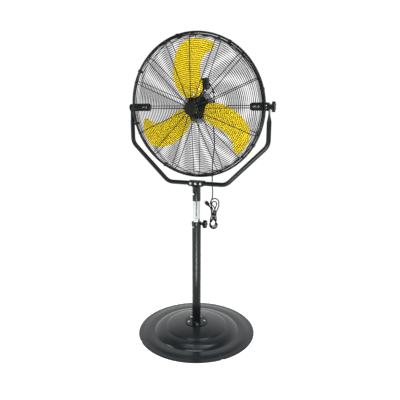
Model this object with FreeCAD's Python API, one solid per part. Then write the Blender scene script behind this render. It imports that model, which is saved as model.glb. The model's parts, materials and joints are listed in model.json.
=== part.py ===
# Pedestal fan, millimetres, +Z up. The origin is on the floor, on the pole axis.
# The fan blows towards -Y, and +X is on the right of someone who faces it.
import FreeCAD, Part
import math
import os

from FreeCAD import Vector

os.makedirs("parts", exist_ok=True)

# ---- overall sizes
pivotHeight = 1378.0
headTilt = 5.0
hoopOuterRadius = 400.0
baseRadius = 362.0

# ---- base
sheet = 2.5
flangeRadius = 71.0
flangeThickness = 5.0
coverTop = 54.5
coverStepRadius = 187.0
coverStepHeight = 36.5
domeRadius = 262.0
domeFoot = 9.0
rimLineInset = 39.0
rimLineRadius = baseRadius - rimLineInset
rimEdge = 4.5
rimClearance = 1.0
padAngles = [45, 135, 225, 315]
padLength = 30.0
padWidth = 16.0
matRadius = 226.0
matThickness = 3.0
ballastRadius = 228.0
ballastRim = 52.0
ballastWeb = 7.5
ballastRecess = 30.0
flangeBoltCircle = 50.5
flangeBoltCount = 5
flangeBoltStart = -63.0

# ---- pole and mast
mastRadius = 21.2
mastWall = 2.0
mastBottom = 380.0
runningFit = 0.05
bushWall = 3.3
bushLength = 60.0
poleWall = 2.5
poleRadius = mastRadius + bushWall + poleWall
poleTop = 706.0
collarWall = 3.3
collarRadius = poleRadius + collarWall
collarDepth = 20.0
collarBottom = poleTop - collarDepth
clampDepth = 8.0
clampHeight = poleTop - clampDepth
clampBossLength = 10.7
clampKnobStart = collarRadius + clampBossLength
clampKnobRadius = 25.0

# ---- yoke
tubeRadius = 13.0
tubeWall = 2.0
yokeSideGap = 9.5
yokeShoulderDrop = 206.4
yokeFloorHalf = 180.8
yokeFloorGap = 36.0
yokeFloorDrop = hoopOuterRadius + yokeFloorGap
yokeAxisZ = pivotHeight - yokeFloorDrop
yokeBend = 70.0
flatThickness = 5.0
flatWidth = 38.0
flatStart = 32.0
roundStart = 78.0
saddleHalf = 49.5
saddleWall = 3.5
saddleRise = 16.0
saddleTop = yokeAxisZ + saddleRise
saddleBottom = yokeAxisZ - tubeRadius - saddleWall
sleeveLength = 88.5
sleeveBottom = saddleBottom - sleeveLength
mastTopGap = 2.0
mastTop = saddleBottom - mastTopGap
sleeveWall = 2.9
sleeveFit = 0.1

# ---- fixings
m10 = 5.0
m8 = 4.0
m6 = 3.0
m5 = 2.5
m4 = 2.0
headGap = 0.2

# ---- guards
wireRadius = 1.2
spokeRadius = 2.0
spokeCount = 16
ringPitch = 10.4
ringStart = 2.5
wireGap = 0.05
hoopWire = 4.0
hoopCentre = -18.6
hoopHalfGap = 4.15
shoulderInset = 22.0
shoulderRadius = hoopOuterRadius - shoulderInset
frontShoulder = -72.0
frontNose = -88.0
rearShoulder = 20.0
rearNose = 27.05
capRadius = 39.0
clipStart = 13.5
clipCount = 8
clipWidth = 14.0

# ---- side brackets and pivots
bracketLength = 73.0
bracketInner = shoulderRadius - bracketLength
bracketHalf = 22.0
bracketThickness = 3.0
bracketLip = 4.5
tabGap = 4.0
tabInside = hoopOuterRadius + tabGap
tabReach = 22.0
yokeHalfWidth = tabInside + bracketThickness + yokeSideGap
pairedSpokes = 6.6
washerGap = 0.4
frictionRadius = 22.0
tiltKnobRadius = 28.0

# ---- motor
motorRadius = 66.0
motorFront = 6.0
motorRear = 102.0
motorWall = 3.0
motorSplit = 52.0
shaftRadius = 7.5
shaftFront = -62.0
bearingRadius = 16.0
bearingWidth = 10.0
statorInner = 35.0
airGap = 0.5
ringMountGap = 1.0
ringMountWidth = 25.0
ringMountInner = motorRadius + ringMountGap
ringMountOuter = ringMountInner + ringMountWidth

# ---- blades
bladeCount = 3
bladePlane = -25.0
bladeThickness = 1.6
bladeCamber = 9.0
armThickness = 3.0
rootPitch = 24.0
tipPitch = 15.0
bladeTipGap = 16.0
bladeTipRadius = shoulderRadius - bladeTipGap

# ---- switch box and cord
boxLeft = -45.0
boxRight = 32.0
boxDepth = 44.0
boxOverhang = 30.0
boxRear = motorRear + boxOverhang
boxFront = boxRear - boxDepth
boxLift = 27.0
boxHeight = 66.0
boxBottom = motorRadius + boxLift
boxTop = boxBottom + boxHeight
boxWall = 2.5
exitY = boxRear - 20.0
exitZ = boxBottom + 34.0
cordRadius = 3.5
cordPlane = 50.0
glandSlope = 50.0


# ---- small helpers
def cyl(radius, start, end):
    axis = end - start
    return Part.makeCylinder(radius, axis.Length, start, axis)


def ring(outer, inner, start, end):
    return cyl(outer, start, end).cut(cyl(inner, start, end))


def block(x0, x1, y0, y1, z0, z1):
    return Part.makeBox(x1 - x0, y1 - y0, z1 - z0, Vector(x0, y0, z0))


def onZ(height):
    return Vector(0, 0, height)


def onY(depth):
    return Vector(0, depth, 0)


def polar(radius, degrees, height=0.0):
    a = math.radians(degrees)
    return Vector(radius * math.cos(a), radius * math.sin(a), height)


def lathe(points):
    """Solid of revolution about Z from (radius, height) points."""
    corners = [Vector(r, 0, h) for r, h in points]
    face = Part.Face(Part.makePolygon(corners + corners[:1]))
    return face.revolve(Vector(0, 0, 0), Vector(0, 0, 1), 360)


def alongY(shape):
    """Turns a shape made about +Z so that it lies about +Y."""
    turned = shape.copy()
    turned.rotate(Vector(0, 0, 0), Vector(1, 0, 0), -90)
    return turned


def hexPrism(acrossFlats, start, end):
    axis = end - start
    corner = acrossFlats / math.sqrt(3)
    points = [polar(corner, 60 * k) for k in range(7)]
    prism = Part.Face(Part.makePolygon(points)).extrude(Vector(0, 0, axis.Length))
    prism.Placement = FreeCAD.Placement(start, FreeCAD.Rotation(Vector(0, 0, 1), axis))
    return prism


def unit(start, end):
    step = end - start
    step.normalize()
    return step


def hexBolt(size, head, tip, thickness):
    """Bolt with its head seated at head, reaching to tip."""
    out = unit(tip, head)
    return hexPrism(3.25 * size, head, head + out * thickness).fuse(cyl(size, tip, head))


def hexNut(size, start, end):
    return hexPrism(3.25 * size, start, end).cut(cyl(size, start, end))


def panScrew(size, head, tip, thickness):
    out = unit(tip, head)
    button = Part.makeCone(1.9 * size, 1.4 * size, thickness, head, out)
    return button.fuse(cyl(size, tip, head))


def lobedKnob(radius, lobes, start, end):
    """Star knob: a round core with rounded lobes, about the line start to end."""
    lobe = 0.27 * radius
    core = cyl(radius - 1.25 * lobe, start, end)
    axis = unit(start, end)
    side = Vector(0, 0, 1) if abs(axis.z) < 0.5 else Vector(1, 0, 0)
    for k in range(lobes):
        out = FreeCAD.Rotation(axis, 360.0 * k / lobes).multVec(side) * (radius - lobe)
        core = core.fuse(cyl(lobe, start + out, end + out))
    return core


def roundedPath(points, radii):
    """Straight runs joined by tangent arcs; radii has one value per inner point."""
    edges = []
    here = points[0]
    for before, corner, after, radius in zip(points, points[1:], points[2:], radii):
        back = unit(corner, before)
        ahead = unit(corner, after)
        half = (math.pi - back.getAngle(ahead)) / 2
        reach = radius * math.tan(half)
        bisector = back + ahead
        bisector.normalize()
        middle = corner + bisector * (radius / math.cos(half) - radius)
        entry = corner + back * reach
        leave = corner + ahead * reach
        edges.append(Part.LineSegment(here, entry).toShape())
        edges.append(Part.Arc(entry, middle, leave).toShape())
        here = leave
    edges.append(Part.LineSegment(here, points[-1]).toShape())
    return Part.Wire(edges)


def sweepRound(path, radius):
    start = path.Edges[0].valueAt(path.Edges[0].FirstParameter)
    direction = path.Edges[0].tangentAt(path.Edges[0].FirstParameter)
    circle = Part.Wire(Part.makeCircle(radius, start, direction))
    return path.makePipeShell([circle], True, False)


def around(axis, count, start, shape):
    """Copies of a shape at equal steps about an axis through the origin."""
    copies = []
    for k in range(count):
        copy = shape.copy()
        copy.rotate(Vector(0, 0, 0), axis, start + 360.0 * k / count)
        copies.append(copy)
    return copies


def mirrored(shape):
    return shape.mirror(Vector(0, 0, 0), Vector(1, 0, 0))


def headPlace(shape):
    """Head pieces are drawn level about the pivot, then tipped and lifted."""
    placed = shape.copy()
    placed.rotate(Vector(0, 0, 0), Vector(1, 0, 0), headTilt)
    placed.translate(onZ(pivotHeight))
    return placed


def headPoint(point):
    turn = FreeCAD.Rotation(Vector(1, 0, 0), headTilt)
    return turn.multVec(point) + onZ(pivotHeight)


def save(node, solids):
    solids = solids if isinstance(solids, list) else [solids]
    flat = []
    for solid in solids:
        flat.extend(solid.Solids)
    shape = flat[0] if len(flat) == 1 else Part.makeCompound(flat)
    shape.exportStep("parts/" + node + ".step")
    volume = sum(s.Volume for s in flat)
    valid = all(s.isValid() for s in flat)
    print(f"{node:22s} solids {len(flat):3d}  volume {volume / 1000:9.1f} cm3  valid {valid}")


def saveHead(node, solids):
    solids = solids if isinstance(solids, list) else [solids]
    save(node, [headPlace(s) for s in solids])


# ---- base
def coverCurve(drop):
    """Top line of the pressed cover from the centre to the rim, lowered by drop."""
    def at(r, z):
        return Vector(r, 0, z - drop)
    seat = at(flangeRadius + 7, coverTop)
    step = at(coverStepRadius - 3, coverStepHeight + 1.5)
    groove = at(coverStepRadius, coverStepHeight - 1)
    foot = at(domeRadius, domeFoot)
    coneMid = at((seat.x + step.x) / 2, (coverTop + coverStepHeight) / 2 + 3)
    domeMid = at((groove.x + foot.x) / 2 + 8, (groove.z + foot.z) / 2 + drop + 4.5)
    line = at(rimLineRadius - 2, domeFoot - 0.5)
    under = at(rimLineRadius + 2, domeFoot - 2.5)
    edge = at(baseRadius - 4, rimEdge)
    return [
        Part.LineSegment(at(15, coverTop), seat).toShape(),
        Part.Arc(seat, coneMid, step).toShape(),
        Part.LineSegment(step, groove).toShape(),
        Part.Arc(groove, domeMid, foot).toShape(),
        Part.LineSegment(foot, line).toShape(),
        Part.LineSegment(line, under).toShape(),
        Part.LineSegment(under, edge).toShape(),
    ]


def baseCover():
    top = coverCurve(0)
    under = coverCurve(sheet)
    a = Vector(baseRadius - 4, 0, rimEdge)
    b = Vector(baseRadius, 0, rimEdge - 2)
    c = Vector(baseRadius, 0, rimClearance)
    d = Vector(baseRadius - 1.5, 0, rimClearance)
    e = Vector(baseRadius - 4, 0, rimEdge - sheet)
    lip = [Part.LineSegment(p, q).toShape() for p, q in [(a, b), (b, c), (c, d), (d, e)]]
    inner = Part.LineSegment(Vector(15, 0, coverTop), Vector(15, 0, coverTop - sheet)).toShape()
    wire = Part.Wire(Part.__sortEdges__(top + under + lip + [inner]))
    cover = Part.Face(wire).revolve(Vector(0, 0, 0), Vector(0, 0, 1), 360)
    for angle in padAngles:
        notch = block(baseRadius - 4, baseRadius + 5, -padWidth / 2, padWidth / 2, -5, 20)
        slot = block(baseRadius - 36, baseRadius - 32, -5, 5, -5, 20)
        for cutter in (notch, slot):
            cutter.rotate(Vector(0, 0, 0), Vector(0, 0, 1), angle)
            cover = cover.cut(cutter)
    return cover


def flangeHoles(shape, radius):
    hole = cyl(radius, polar(flangeBoltCircle, 0, 0), polar(flangeBoltCircle, 0, 90))
    for drill in around(Vector(0, 0, 1), flangeBoltCount, flangeBoltStart, hole):
        shape = shape.cut(drill)
    return shape


def makeBase():
    save("base_cover", flangeHoles(baseCover(), m8 + 0.4))
    hub = coverTop - sheet
    rim = ballastRadius - ballastRim
    ballast = lathe([
        (20, hub), (flangeRadius + 5, hub), (flangeRadius + 9, hub - 3.5),
        (rim + 5, hub - 31), (ballastRadius, matThickness + 11), (ballastRadius, matThickness),
        (rim, matThickness), (rim - 6, hub - 31 - ballastWeb + 2),
        (flangeRadius + 5, hub - 3.5 - ballastWeb), (flangeRadius - 5, ballastRecess),
        (20, ballastRecess),
    ])
    save("base_ballast", flangeHoles(ballast, m8 + 0.4))
    pad = block(baseRadius - 6 - padLength, baseRadius - 6, -padWidth / 2, padWidth / 2, 0, 1.9)
    peg = block(baseRadius - 35.7, baseRadius - 32.3, -4.7, 4.7, 1, domeFoot - 2.4)
    pads = [pad.fuse(peg)]
    pads = [p for angle in padAngles for p in around(Vector(0, 0, 1), 1, angle, pads[0])]
    mat = cyl(matRadius, onZ(0), onZ(matThickness))
    save("floor_pads", pads + [mat])
    top = coverTop + flangeThickness
    flange = lathe([
        (poleRadius, coverTop), (flangeRadius, coverTop), (flangeRadius, top - 1),
        (flangeRadius - 1, top), (poleRadius + 6, top), (poleRadius, top + 6),
    ])
    save("pole_flange", flangeHoles(flange, m8 + 0.4))
    spot = polar(flangeBoltCircle, 0)
    washer = ring(8, m8, spot + onZ(top), spot + onZ(top + 1.6))
    bolt = hexBolt(m8, spot + onZ(top + 1.6), spot + onZ(ballastRecess - 8), 5.3)
    nut = hexNut(m8, spot + onZ(ballastRecess - 6.5), spot + onZ(ballastRecess))
    fixings = []
    for shape in (washer, bolt, nut):
        fixings.extend(around(Vector(0, 0, 1), flangeBoltCount, flangeBoltStart, shape))
    save("flange_fixings", fixings)


# ---- pole, collar, mast
def makePole():
    inside = poleRadius - poleWall
    clampBore = cyl(m10 + 0.4, Vector(0, 0, clampHeight), Vector(poleRadius + 33, 0, clampHeight))
    screwAngle = -113
    screwZ = collarBottom - 7
    screwBore = cyl(m5, polar(mastRadius - 0.2, screwAngle, screwZ), polar(poleRadius + 13, screwAngle, screwZ))
    pole = ring(poleRadius, inside, onZ(coverTop), onZ(poleTop)).cut(clampBore).cut(screwBore)
    save("outer_pole", pole)
    bush = lathe([
        (mastRadius + runningFit, poleTop - bushLength), (inside, poleTop - bushLength),
        (inside, poleTop), (poleRadius, poleTop), (poleRadius, poleTop + 2),
        (poleRadius - 1, poleTop + 3), (mastRadius + runningFit, poleTop + 3),
    ])
    save("pole_bush", bush.cut(clampBore).cut(screwBore))
    collar = lathe([
        (poleRadius, collarBottom), (collarRadius - 1.5, collarBottom),
        (collarRadius, collarBottom + 4), (collarRadius, poleTop + 2), (poleRadius, poleTop + 2),
    ])
    boss = cyl(8.5, Vector(poleRadius + 1, 0, clampHeight), Vector(clampKnobStart - 1, 0, clampHeight))
    thread = cyl(m10 + runningFit, Vector(0, 0, clampHeight), Vector(poleRadius + 33, 0, clampHeight))
    save("pole_collar", collar.fuse(boss).cut(thread))
    screw = panScrew(m5, polar(poleRadius + 0.1, screwAngle, screwZ),
                     polar(mastRadius + 1, screwAngle, screwZ), 3)
    save("collar_screw", screw)

    stud = cyl(m10, Vector(mastRadius + 0.3, 0, clampHeight), Vector(clampKnobStart + 17, 0, clampHeight))
    hub = cyl(12, Vector(clampKnobStart, 0, clampHeight), Vector(clampKnobStart + 5, 0, clampHeight))
    star = lobedKnob(clampKnobRadius, 7, Vector(clampKnobStart + 4, 0, clampHeight),
                     Vector(clampKnobStart + 22, 0, clampHeight))
    save("clamp_knob", [hub.fuse(star).cut(stud), stud])

    save("mast_tube", ring(mastRadius, mastRadius - mastWall, onZ(mastBottom), onZ(mastTop)))
    guide = ring(inside - runningFit, mastRadius, onZ(mastBottom + 2), onZ(mastBottom + 24))
    plug = cyl(mastRadius, onZ(mastTop), onZ(mastTop + 1.6))
    plug = plug.fuse(cyl(mastRadius - mastWall, onZ(mastTop - 15), onZ(mastTop)))
    save("mast_bushes", [guide, plug])


# ---- yoke
def flatOutline(height, halfThick, halfWide):
    """Closed outline with two flat sides and two round ends, facing +X and -X."""
    def at(x, y):
        return Vector(yokeHalfWidth + x, y, height)
    straight = halfWide - halfThick
    return Part.Wire([
        Part.LineSegment(at(halfThick, -straight), at(halfThick, straight)).toShape(),
        Part.Arc(at(halfThick, straight), at(0, halfWide), at(-halfThick, straight)).toShape(),
        Part.LineSegment(at(-halfThick, straight), at(-halfThick, -straight)).toShape(),
        Part.Arc(at(-halfThick, -straight), at(0, -halfWide), at(halfThick, -straight)).toShape(),
    ])


def roundOutline(height, radius):
    """The same four pieces as flatOutline, on a circle."""
    centre = Vector(yokeHalfWidth, 0, height)
    ends = [-60, 60, 120, 240, 300]
    arcs = []
    for a, b in zip(ends, ends[1:]):
        points = [centre + polar(radius, t) for t in (a, (a + b) / 2, b)]
        arcs.append(Part.Arc(*points).toShape())
    return Part.Wire(arcs)


def yokeEnd():
    z = pivotHeight
    half = flatThickness / 2
    wide = flatWidth / 2
    loft = Part.makeLoft([roundOutline(z - roundStart, tubeRadius),
                          flatOutline(z - flatStart, half, wide)], True, True)
    x0 = yokeHalfWidth - half
    x1 = yokeHalfWidth + half
    flat = Part.Face(flatOutline(z - flatStart, half, wide)).extrude(onZ(flatStart))
    eye = cyl(wide, Vector(x0, 0, z), Vector(x1, 0, z))
    hole = cyl(m10 + runningFit, Vector(x0 - 1, 0, z), Vector(x1 + 1, 0, z))
    return loft.fuse(flat).fuse(eye).cut(hole)


def makeYoke():
    z = pivotHeight
    corners = [
        Vector(yokeHalfWidth, 0, z - roundStart),
        Vector(yokeHalfWidth, 0, z - yokeShoulderDrop),
        Vector(yokeFloorHalf, 0, z - yokeFloorDrop),
        Vector(-yokeFloorHalf, 0, z - yokeFloorDrop),
        Vector(-yokeHalfWidth, 0, z - yokeShoulderDrop),
        Vector(-yokeHalfWidth, 0, z - roundStart),
    ]
    path = roundedPath(corners, [yokeBend] * 4)
    tube = sweepRound(path, tubeRadius).cut(sweepRound(path, tubeRadius - tubeWall))
    end = yokeEnd()
    tube = tube.fuse(end).fuse(mirrored(end))
    axis = yokeAxisZ
    wall = tubeRadius + saddleWall
    boltX = [-31, 0, 31]
    bores = [cyl(m8 + 0.1, Vector(x, -40, axis), Vector(x, 40, axis)) for x in boltX]
    for bore in bores:
        tube = tube.cut(bore)
    save("yoke_tube", tube)

    bottom = saddleBottom
    outer = block(-saddleHalf, saddleHalf, -wall, wall, bottom, saddleTop)
    lower = [e for e in outer.Edges if abs(e.CenterOfMass.z - bottom) < 0.1 and e.Length < 2 * wall + 1]
    outer = outer.makeFillet(10, [e for e in lower if abs(e.CenterOfMass.y) < 0.1])
    inner = block(-60, 60, -tubeRadius - 0.1, tubeRadius + 0.1, axis, saddleTop + 5)
    inner = inner.fuse(cyl(tubeRadius + 0.1, Vector(-60, 0, axis), Vector(60, 0, axis)))
    saddle = outer.cut(inner)
    for bore in bores:
        saddle = saddle.cut(bore)
    save("yoke_saddle", saddle)
    bolts = []
    nuts = []
    for x in boltX:
        bolts.append(hexBolt(m8, Vector(x, -wall, axis), Vector(x, wall + 8, axis), 5.3))
        nuts.append(hexNut(m8, Vector(x, wall, axis), Vector(x, wall + 6.5, axis)))
    save("saddle_fixings", bolts + nuts)

    bore = mastRadius + sleeveFit
    outside = bore + sleeveWall
    sleeve = lathe([
        (bore, sleeveBottom), (outside - 1, sleeveBottom), (outside, sleeveBottom + 1),
        (outside, bottom - 9), (outside + 5.5, bottom), (bore, bottom),
    ])
    boltZ = sleeveBottom + 45
    angle = -109
    boss = cyl(8.5, polar(outside - 2, angle, boltZ), polar(outside + 4, angle, boltZ))
    hole = cyl(m8, polar(10, angle, boltZ), polar(60, angle, boltZ))
    well = cyl(bore, onZ(sleeveBottom), onZ(bottom))
    save("yoke_sleeve", sleeve.fuse(boss.cut(well)).cut(hole))
    save("sleeve_bolt", hexBolt(m8, polar(outside + 4, angle, boltZ),
                                polar(mastRadius + 0.3, angle, boltZ), 5.3))


# ---- guards: a wire profile in (radius, depth) with one bend at the shoulder
class GuardProfile:
    def __init__(self, start, corner, end, bend):
        self.start = Vector(start[0], start[1], 0)
        self.end = Vector(end[0], end[1], 0)
        corner = Vector(corner[0], corner[1], 0)
        self.first = unit(self.start, corner)
        self.second = unit(corner, self.end)
        self.turn = self.first.getAngle(self.second)
        self.bend = bend
        reach = bend * math.tan(self.turn / 2)
        self.entry = corner - self.first * reach
        self.leave = corner + self.second * reach
        self.side = 1 if self.first.cross(self.second).z > 0 else -1
        self.centre = self.entry + self.normal(self.first) * bend

    def normal(self, direction):
        return Vector(-direction.y, direction.x, 0) * self.side

    def length(self):
        straight = (self.entry - self.start).Length + (self.end - self.leave).Length
        return straight + self.bend * self.turn

    def at(self, distance):
        """Point on the wire and the direction into the cage there."""
        run = (self.entry - self.start).Length
        arc = self.bend * self.turn
        if distance <= run:
            return self.start + self.first * distance, self.normal(self.first)
        if distance <= run + arc:
            angle = (distance - run) / self.bend * self.side
            spin = FreeCAD.Rotation(Vector(0, 0, 1), math.degrees(angle))
            inward = spin.multVec(self.normal(self.first))
            return self.centre - inward * self.bend, inward
        return self.leave + self.second * (distance - run - arc), self.normal(self.second)

    def spoke(self):
        middle = self.at((self.entry - self.start).Length + self.bend * self.turn / 2)[0]
        def lift(p):
            return Vector(p.x, p.y, 0)
        path = Part.Wire([
            Part.LineSegment(lift(self.start), lift(self.entry)).toShape(),
            Part.Arc(lift(self.entry), lift(middle), lift(self.leave)).toShape(),
            Part.LineSegment(lift(self.leave), lift(self.end)).toShape(),
        ])
        return sweepRound(path, spokeRadius)

    def rings(self, innerRadius):
        """Ring wires laid inside the spokes, evenly along the profile."""
        found = []
        offset = spokeRadius + wireRadius + wireGap
        count = int((self.length() - ringStart) / ringPitch)
        for k in range(1, count + 1):
            point, inward = self.at(ringStart + k * ringPitch)
            centre = point + inward * offset
            if centre.x > innerRadius:
                found.append((centre.x, centre.y))
        return found


hoopCentreRadius = hoopOuterRadius - hoopWire
frontHoopY = hoopCentre - hoopHalfGap
rearHoopY = hoopCentre + hoopHalfGap
weldOffset = hoopWire + spokeRadius + wireGap
frontProfile = GuardProfile((hoopCentreRadius - weldOffset, frontHoopY),
                            (shoulderRadius, frontShoulder), (capRadius - 3, frontNose), 24)
rearProfile = GuardProfile((hoopCentreRadius - weldOffset, rearHoopY),
                           (shoulderRadius, rearShoulder), (ringMountInner + 13, rearNose), 16)


def pairSpokes(spokes):
    """The two level spokes of the rear guard are double, above and below the bracket screws."""
    found = []
    for k, spoke in enumerate(spokes):
        if k % (spokeCount // 2) == 0:
            for shift in (-pairedSpokes, pairedSpokes):
                found.append(spoke.translated(onZ(shift)))
        else:
            found.append(spoke)
    return found


def makeGuards():
    yAxis = Vector(0, 1, 0)
    for name, profile, hoopY, inner in [("front", frontProfile, frontHoopY, capRadius + 4),
                                        ("rear", rearProfile, rearHoopY, ringMountOuter + 4)]:
        saveHead(name + "_hoop", Part.makeTorus(hoopCentreRadius, hoopWire, onY(hoopY), yAxis))
        wires = [Part.makeTorus(r, wireRadius, onY(depth), yAxis) for r, depth in profile.rings(inner)]
        outer = int(0.46 * len(wires))
        saveHead(name + "_outer_rings", wires[:outer])
        saveHead(name + "_inner_rings", wires[outer:])
        spokes = around(yAxis, spokeCount, 0, profile.spoke())
        if name == "rear":
            spokes = pairSpokes(spokes)
        saveHead(name + "_spokes", spokes)

    front = frontNose - spokeRadius - wireGap
    cap = lathe([(0, -8.5), (18, -8), (32, -6), (capRadius - 1, -2.5), (capRadius, 0), (0, 0)])
    cap = alongY(cap)
    cap.translate(onY(front))
    back = frontNose + spokeRadius + wireGap
    plate = cyl(capRadius - 1, onY(back), onY(back + 2))
    screw = panScrew(m5, onY(back + 2), onY(front - 4), 3)
    saveHead("front_cap", cap.cut(screw))
    saveHead("cap_plate", [plate.cut(screw), screw])


def makeClips():
    """Bent clips that hold the two hoops together, each with a screw."""
    outside = hoopOuterRadius + 0.2
    thick = 1.5
    y0 = frontHoopY - hoopWire - 0.2
    y1 = rearHoopY + hoopWire + 0.2
    foot = hoopCentreRadius - 16
    half = clipWidth / 2
    shell = block(foot, outside + thick, y0 - thick, y1 + thick, -half, half)
    clip = shell.cut(block(foot - 1, outside, y0, y1, -half - 1, half + 1))
    x = foot + 6
    clip = clip.cut(cyl(m4, Vector(x, y0 - 9, 0), Vector(x, y1 + 9, 0)))
    screw = panScrew(m4, Vector(x, y0 - thick, 0), Vector(x, y1 + thick + 4, 0), 2.4)
    nut = hexNut(m4, Vector(x, y1 + thick, 0), Vector(x, y1 + thick + 3, 0))
    spacer = ring(m4 + 1.5, m4, Vector(x, y0, 0), Vector(x, y1, 0))
    yAxis = Vector(0, 1, 0)
    clips = []
    for shape in (clip, screw, nut, spacer):
        clips.extend(around(yAxis, clipCount, -clipStart, shape))
    saveHead("hoop_clips", clips)


# ---- side brackets: plates bolted behind the rear guard, with pivot tabs outside the hoops
def chamferedPlate(x0, x1, y0, y1, half, cut):
    """Plate in the XZ plane with its two corners at x0 cut off."""
    points = [
        Vector(x0, y0, -half + cut), Vector(x0 + cut, y0, -half), Vector(x1, y0, -half),
        Vector(x1, y0, half), Vector(x0 + cut, y0, half), Vector(x0, y0, half - cut),
    ]
    return Part.Face(Part.makePolygon(points + points[:1])).extrude(onY(y1 - y0))


def makeBrackets():
    slope = (rearNose - rearShoulder) / (shoulderRadius - ringMountInner - 13)
    def spokeDepth(radius):
        return rearShoulder + (shoulderRadius - radius) * slope
    half = bracketHalf
    thick = bracketThickness
    front = spokeDepth(bracketInner) + spokeRadius + wireGap
    back = front + thick
    rear = back + bracketLip
    outer = tabInside + thick
    bracket = chamferedPlate(bracketInner, outer, front, rear, half, 7)
    bracket = bracket.cut(chamferedPlate(bracketInner + thick, tabInside, back, rear + 1, half - thick, 6))
    tab = block(tabInside, outer, -tabReach, back, -half, half)
    corners = [e for e in tab.Edges if abs(e.CenterOfMass.y + tabReach) < 0.1
               and abs(e.tangentAt(e.FirstParameter).x) > 0.9]
    bracket = bracket.fuse(tab.makeChamfer(8, corners))
    pivotBore = m10 + runningFit
    bracket = bracket.cut(cyl(pivotBore, Vector(tabInside - 1, 0, 0), Vector(outer + 1, 0, 0)))

    radii = [r for r, depth in rearProfile.rings(ringMountOuter + 4) if r < shoulderRadius - 12]
    gaps = [(a + b) / 2 for a, b in zip(radii, radii[1:])]
    fixings = []
    for wanted in (0.37, 0.72):
        spot = bracketInner + (shoulderRadius - bracketInner) * wanted
        x = min(gaps, key=lambda gap: abs(gap - spot))
        ringFace = spokeDepth(x) - spokeRadius - 2 * wireRadius - washerGap
        seat = ringFace - 1.2
        screw = panScrew(m5, Vector(x, seat, 0), Vector(x, back + 6, 0), 3)
        bracket = bracket.cut(screw)
        fixings.append(screw)
        fixings.append(ring(7.5, m5, Vector(x, seat, 0), Vector(x, ringFace, 0)))
        fixings.append(hexNut(m5, Vector(x, back, 0), Vector(x, back + 4, 0)))
    rivetX = bracketInner + 11
    rivet = panScrew(m4, Vector(rivetX, back, 0), Vector(rivetX, front, 0), 1.6)
    bracket = bracket.cut(rivet)
    fixings.append(rivet)
    saveHead("side_brackets", [bracket, mirrored(bracket)])
    saveHead("bracket_fixings", fixings + [mirrored(f) for f in fixings])

    nut = hexNut(m10, Vector(tabInside - 7.5, 0, 0), Vector(tabInside, 0, 0))
    looseNut = nut.cut(cyl(pivotBore, Vector(tabInside - 8, 0, 0), Vector(tabInside, 0, 0)))
    inside = yokeHalfWidth - flatThickness / 2 - headGap
    friction = ring(frictionRadius, pivotBore, Vector(outer, 0, 0), Vector(inside, 0, 0))
    outside = yokeHalfWidth + flatThickness / 2 + headGap
    knobStart = outside + 2 + headGap
    stud = cyl(m10, Vector(tabInside - 9, 0, 0), Vector(knobStart + 20, 0, 0))
    hub = cyl(13, Vector(knobStart, 0, 0), Vector(knobStart + 9, 0, 0))
    star = lobedKnob(tiltKnobRadius, 6, Vector(knobStart + 8, 0, 0), Vector(knobStart + 25, 0, 0))
    saveHead("tilt_knob", [hub.fuse(star).cut(stud), stud])
    washer = ring(12, pivotBore, Vector(outside, 0, 0), Vector(outside + 2, 0, 0))
    cover = ring(frictionRadius, m10, Vector(-outside - 5, 0, 0), Vector(-outside, 0, 0))
    saveHead("pivot_washers", [friction, mirrored(friction), washer, cover])
    bolt = hexBolt(m10, Vector(-outside - 5, 0, 0), Vector(-tabInside + 9, 0, 0), 6.4)
    saveHead("pivot_fixings", [bolt, looseNut, mirrored(nut)])


def legScrews():
    """Screws that hold the switch box bracket on the back of the motor."""
    found = []
    for x in (boxLeft + 14, boxLeft + 44):
        head = Vector(x, motorRear + boxWall, 32)
        found.append(panScrew(m4, head, Vector(x, motorRear - motorWall, 32), 2.4))
    return found


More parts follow.
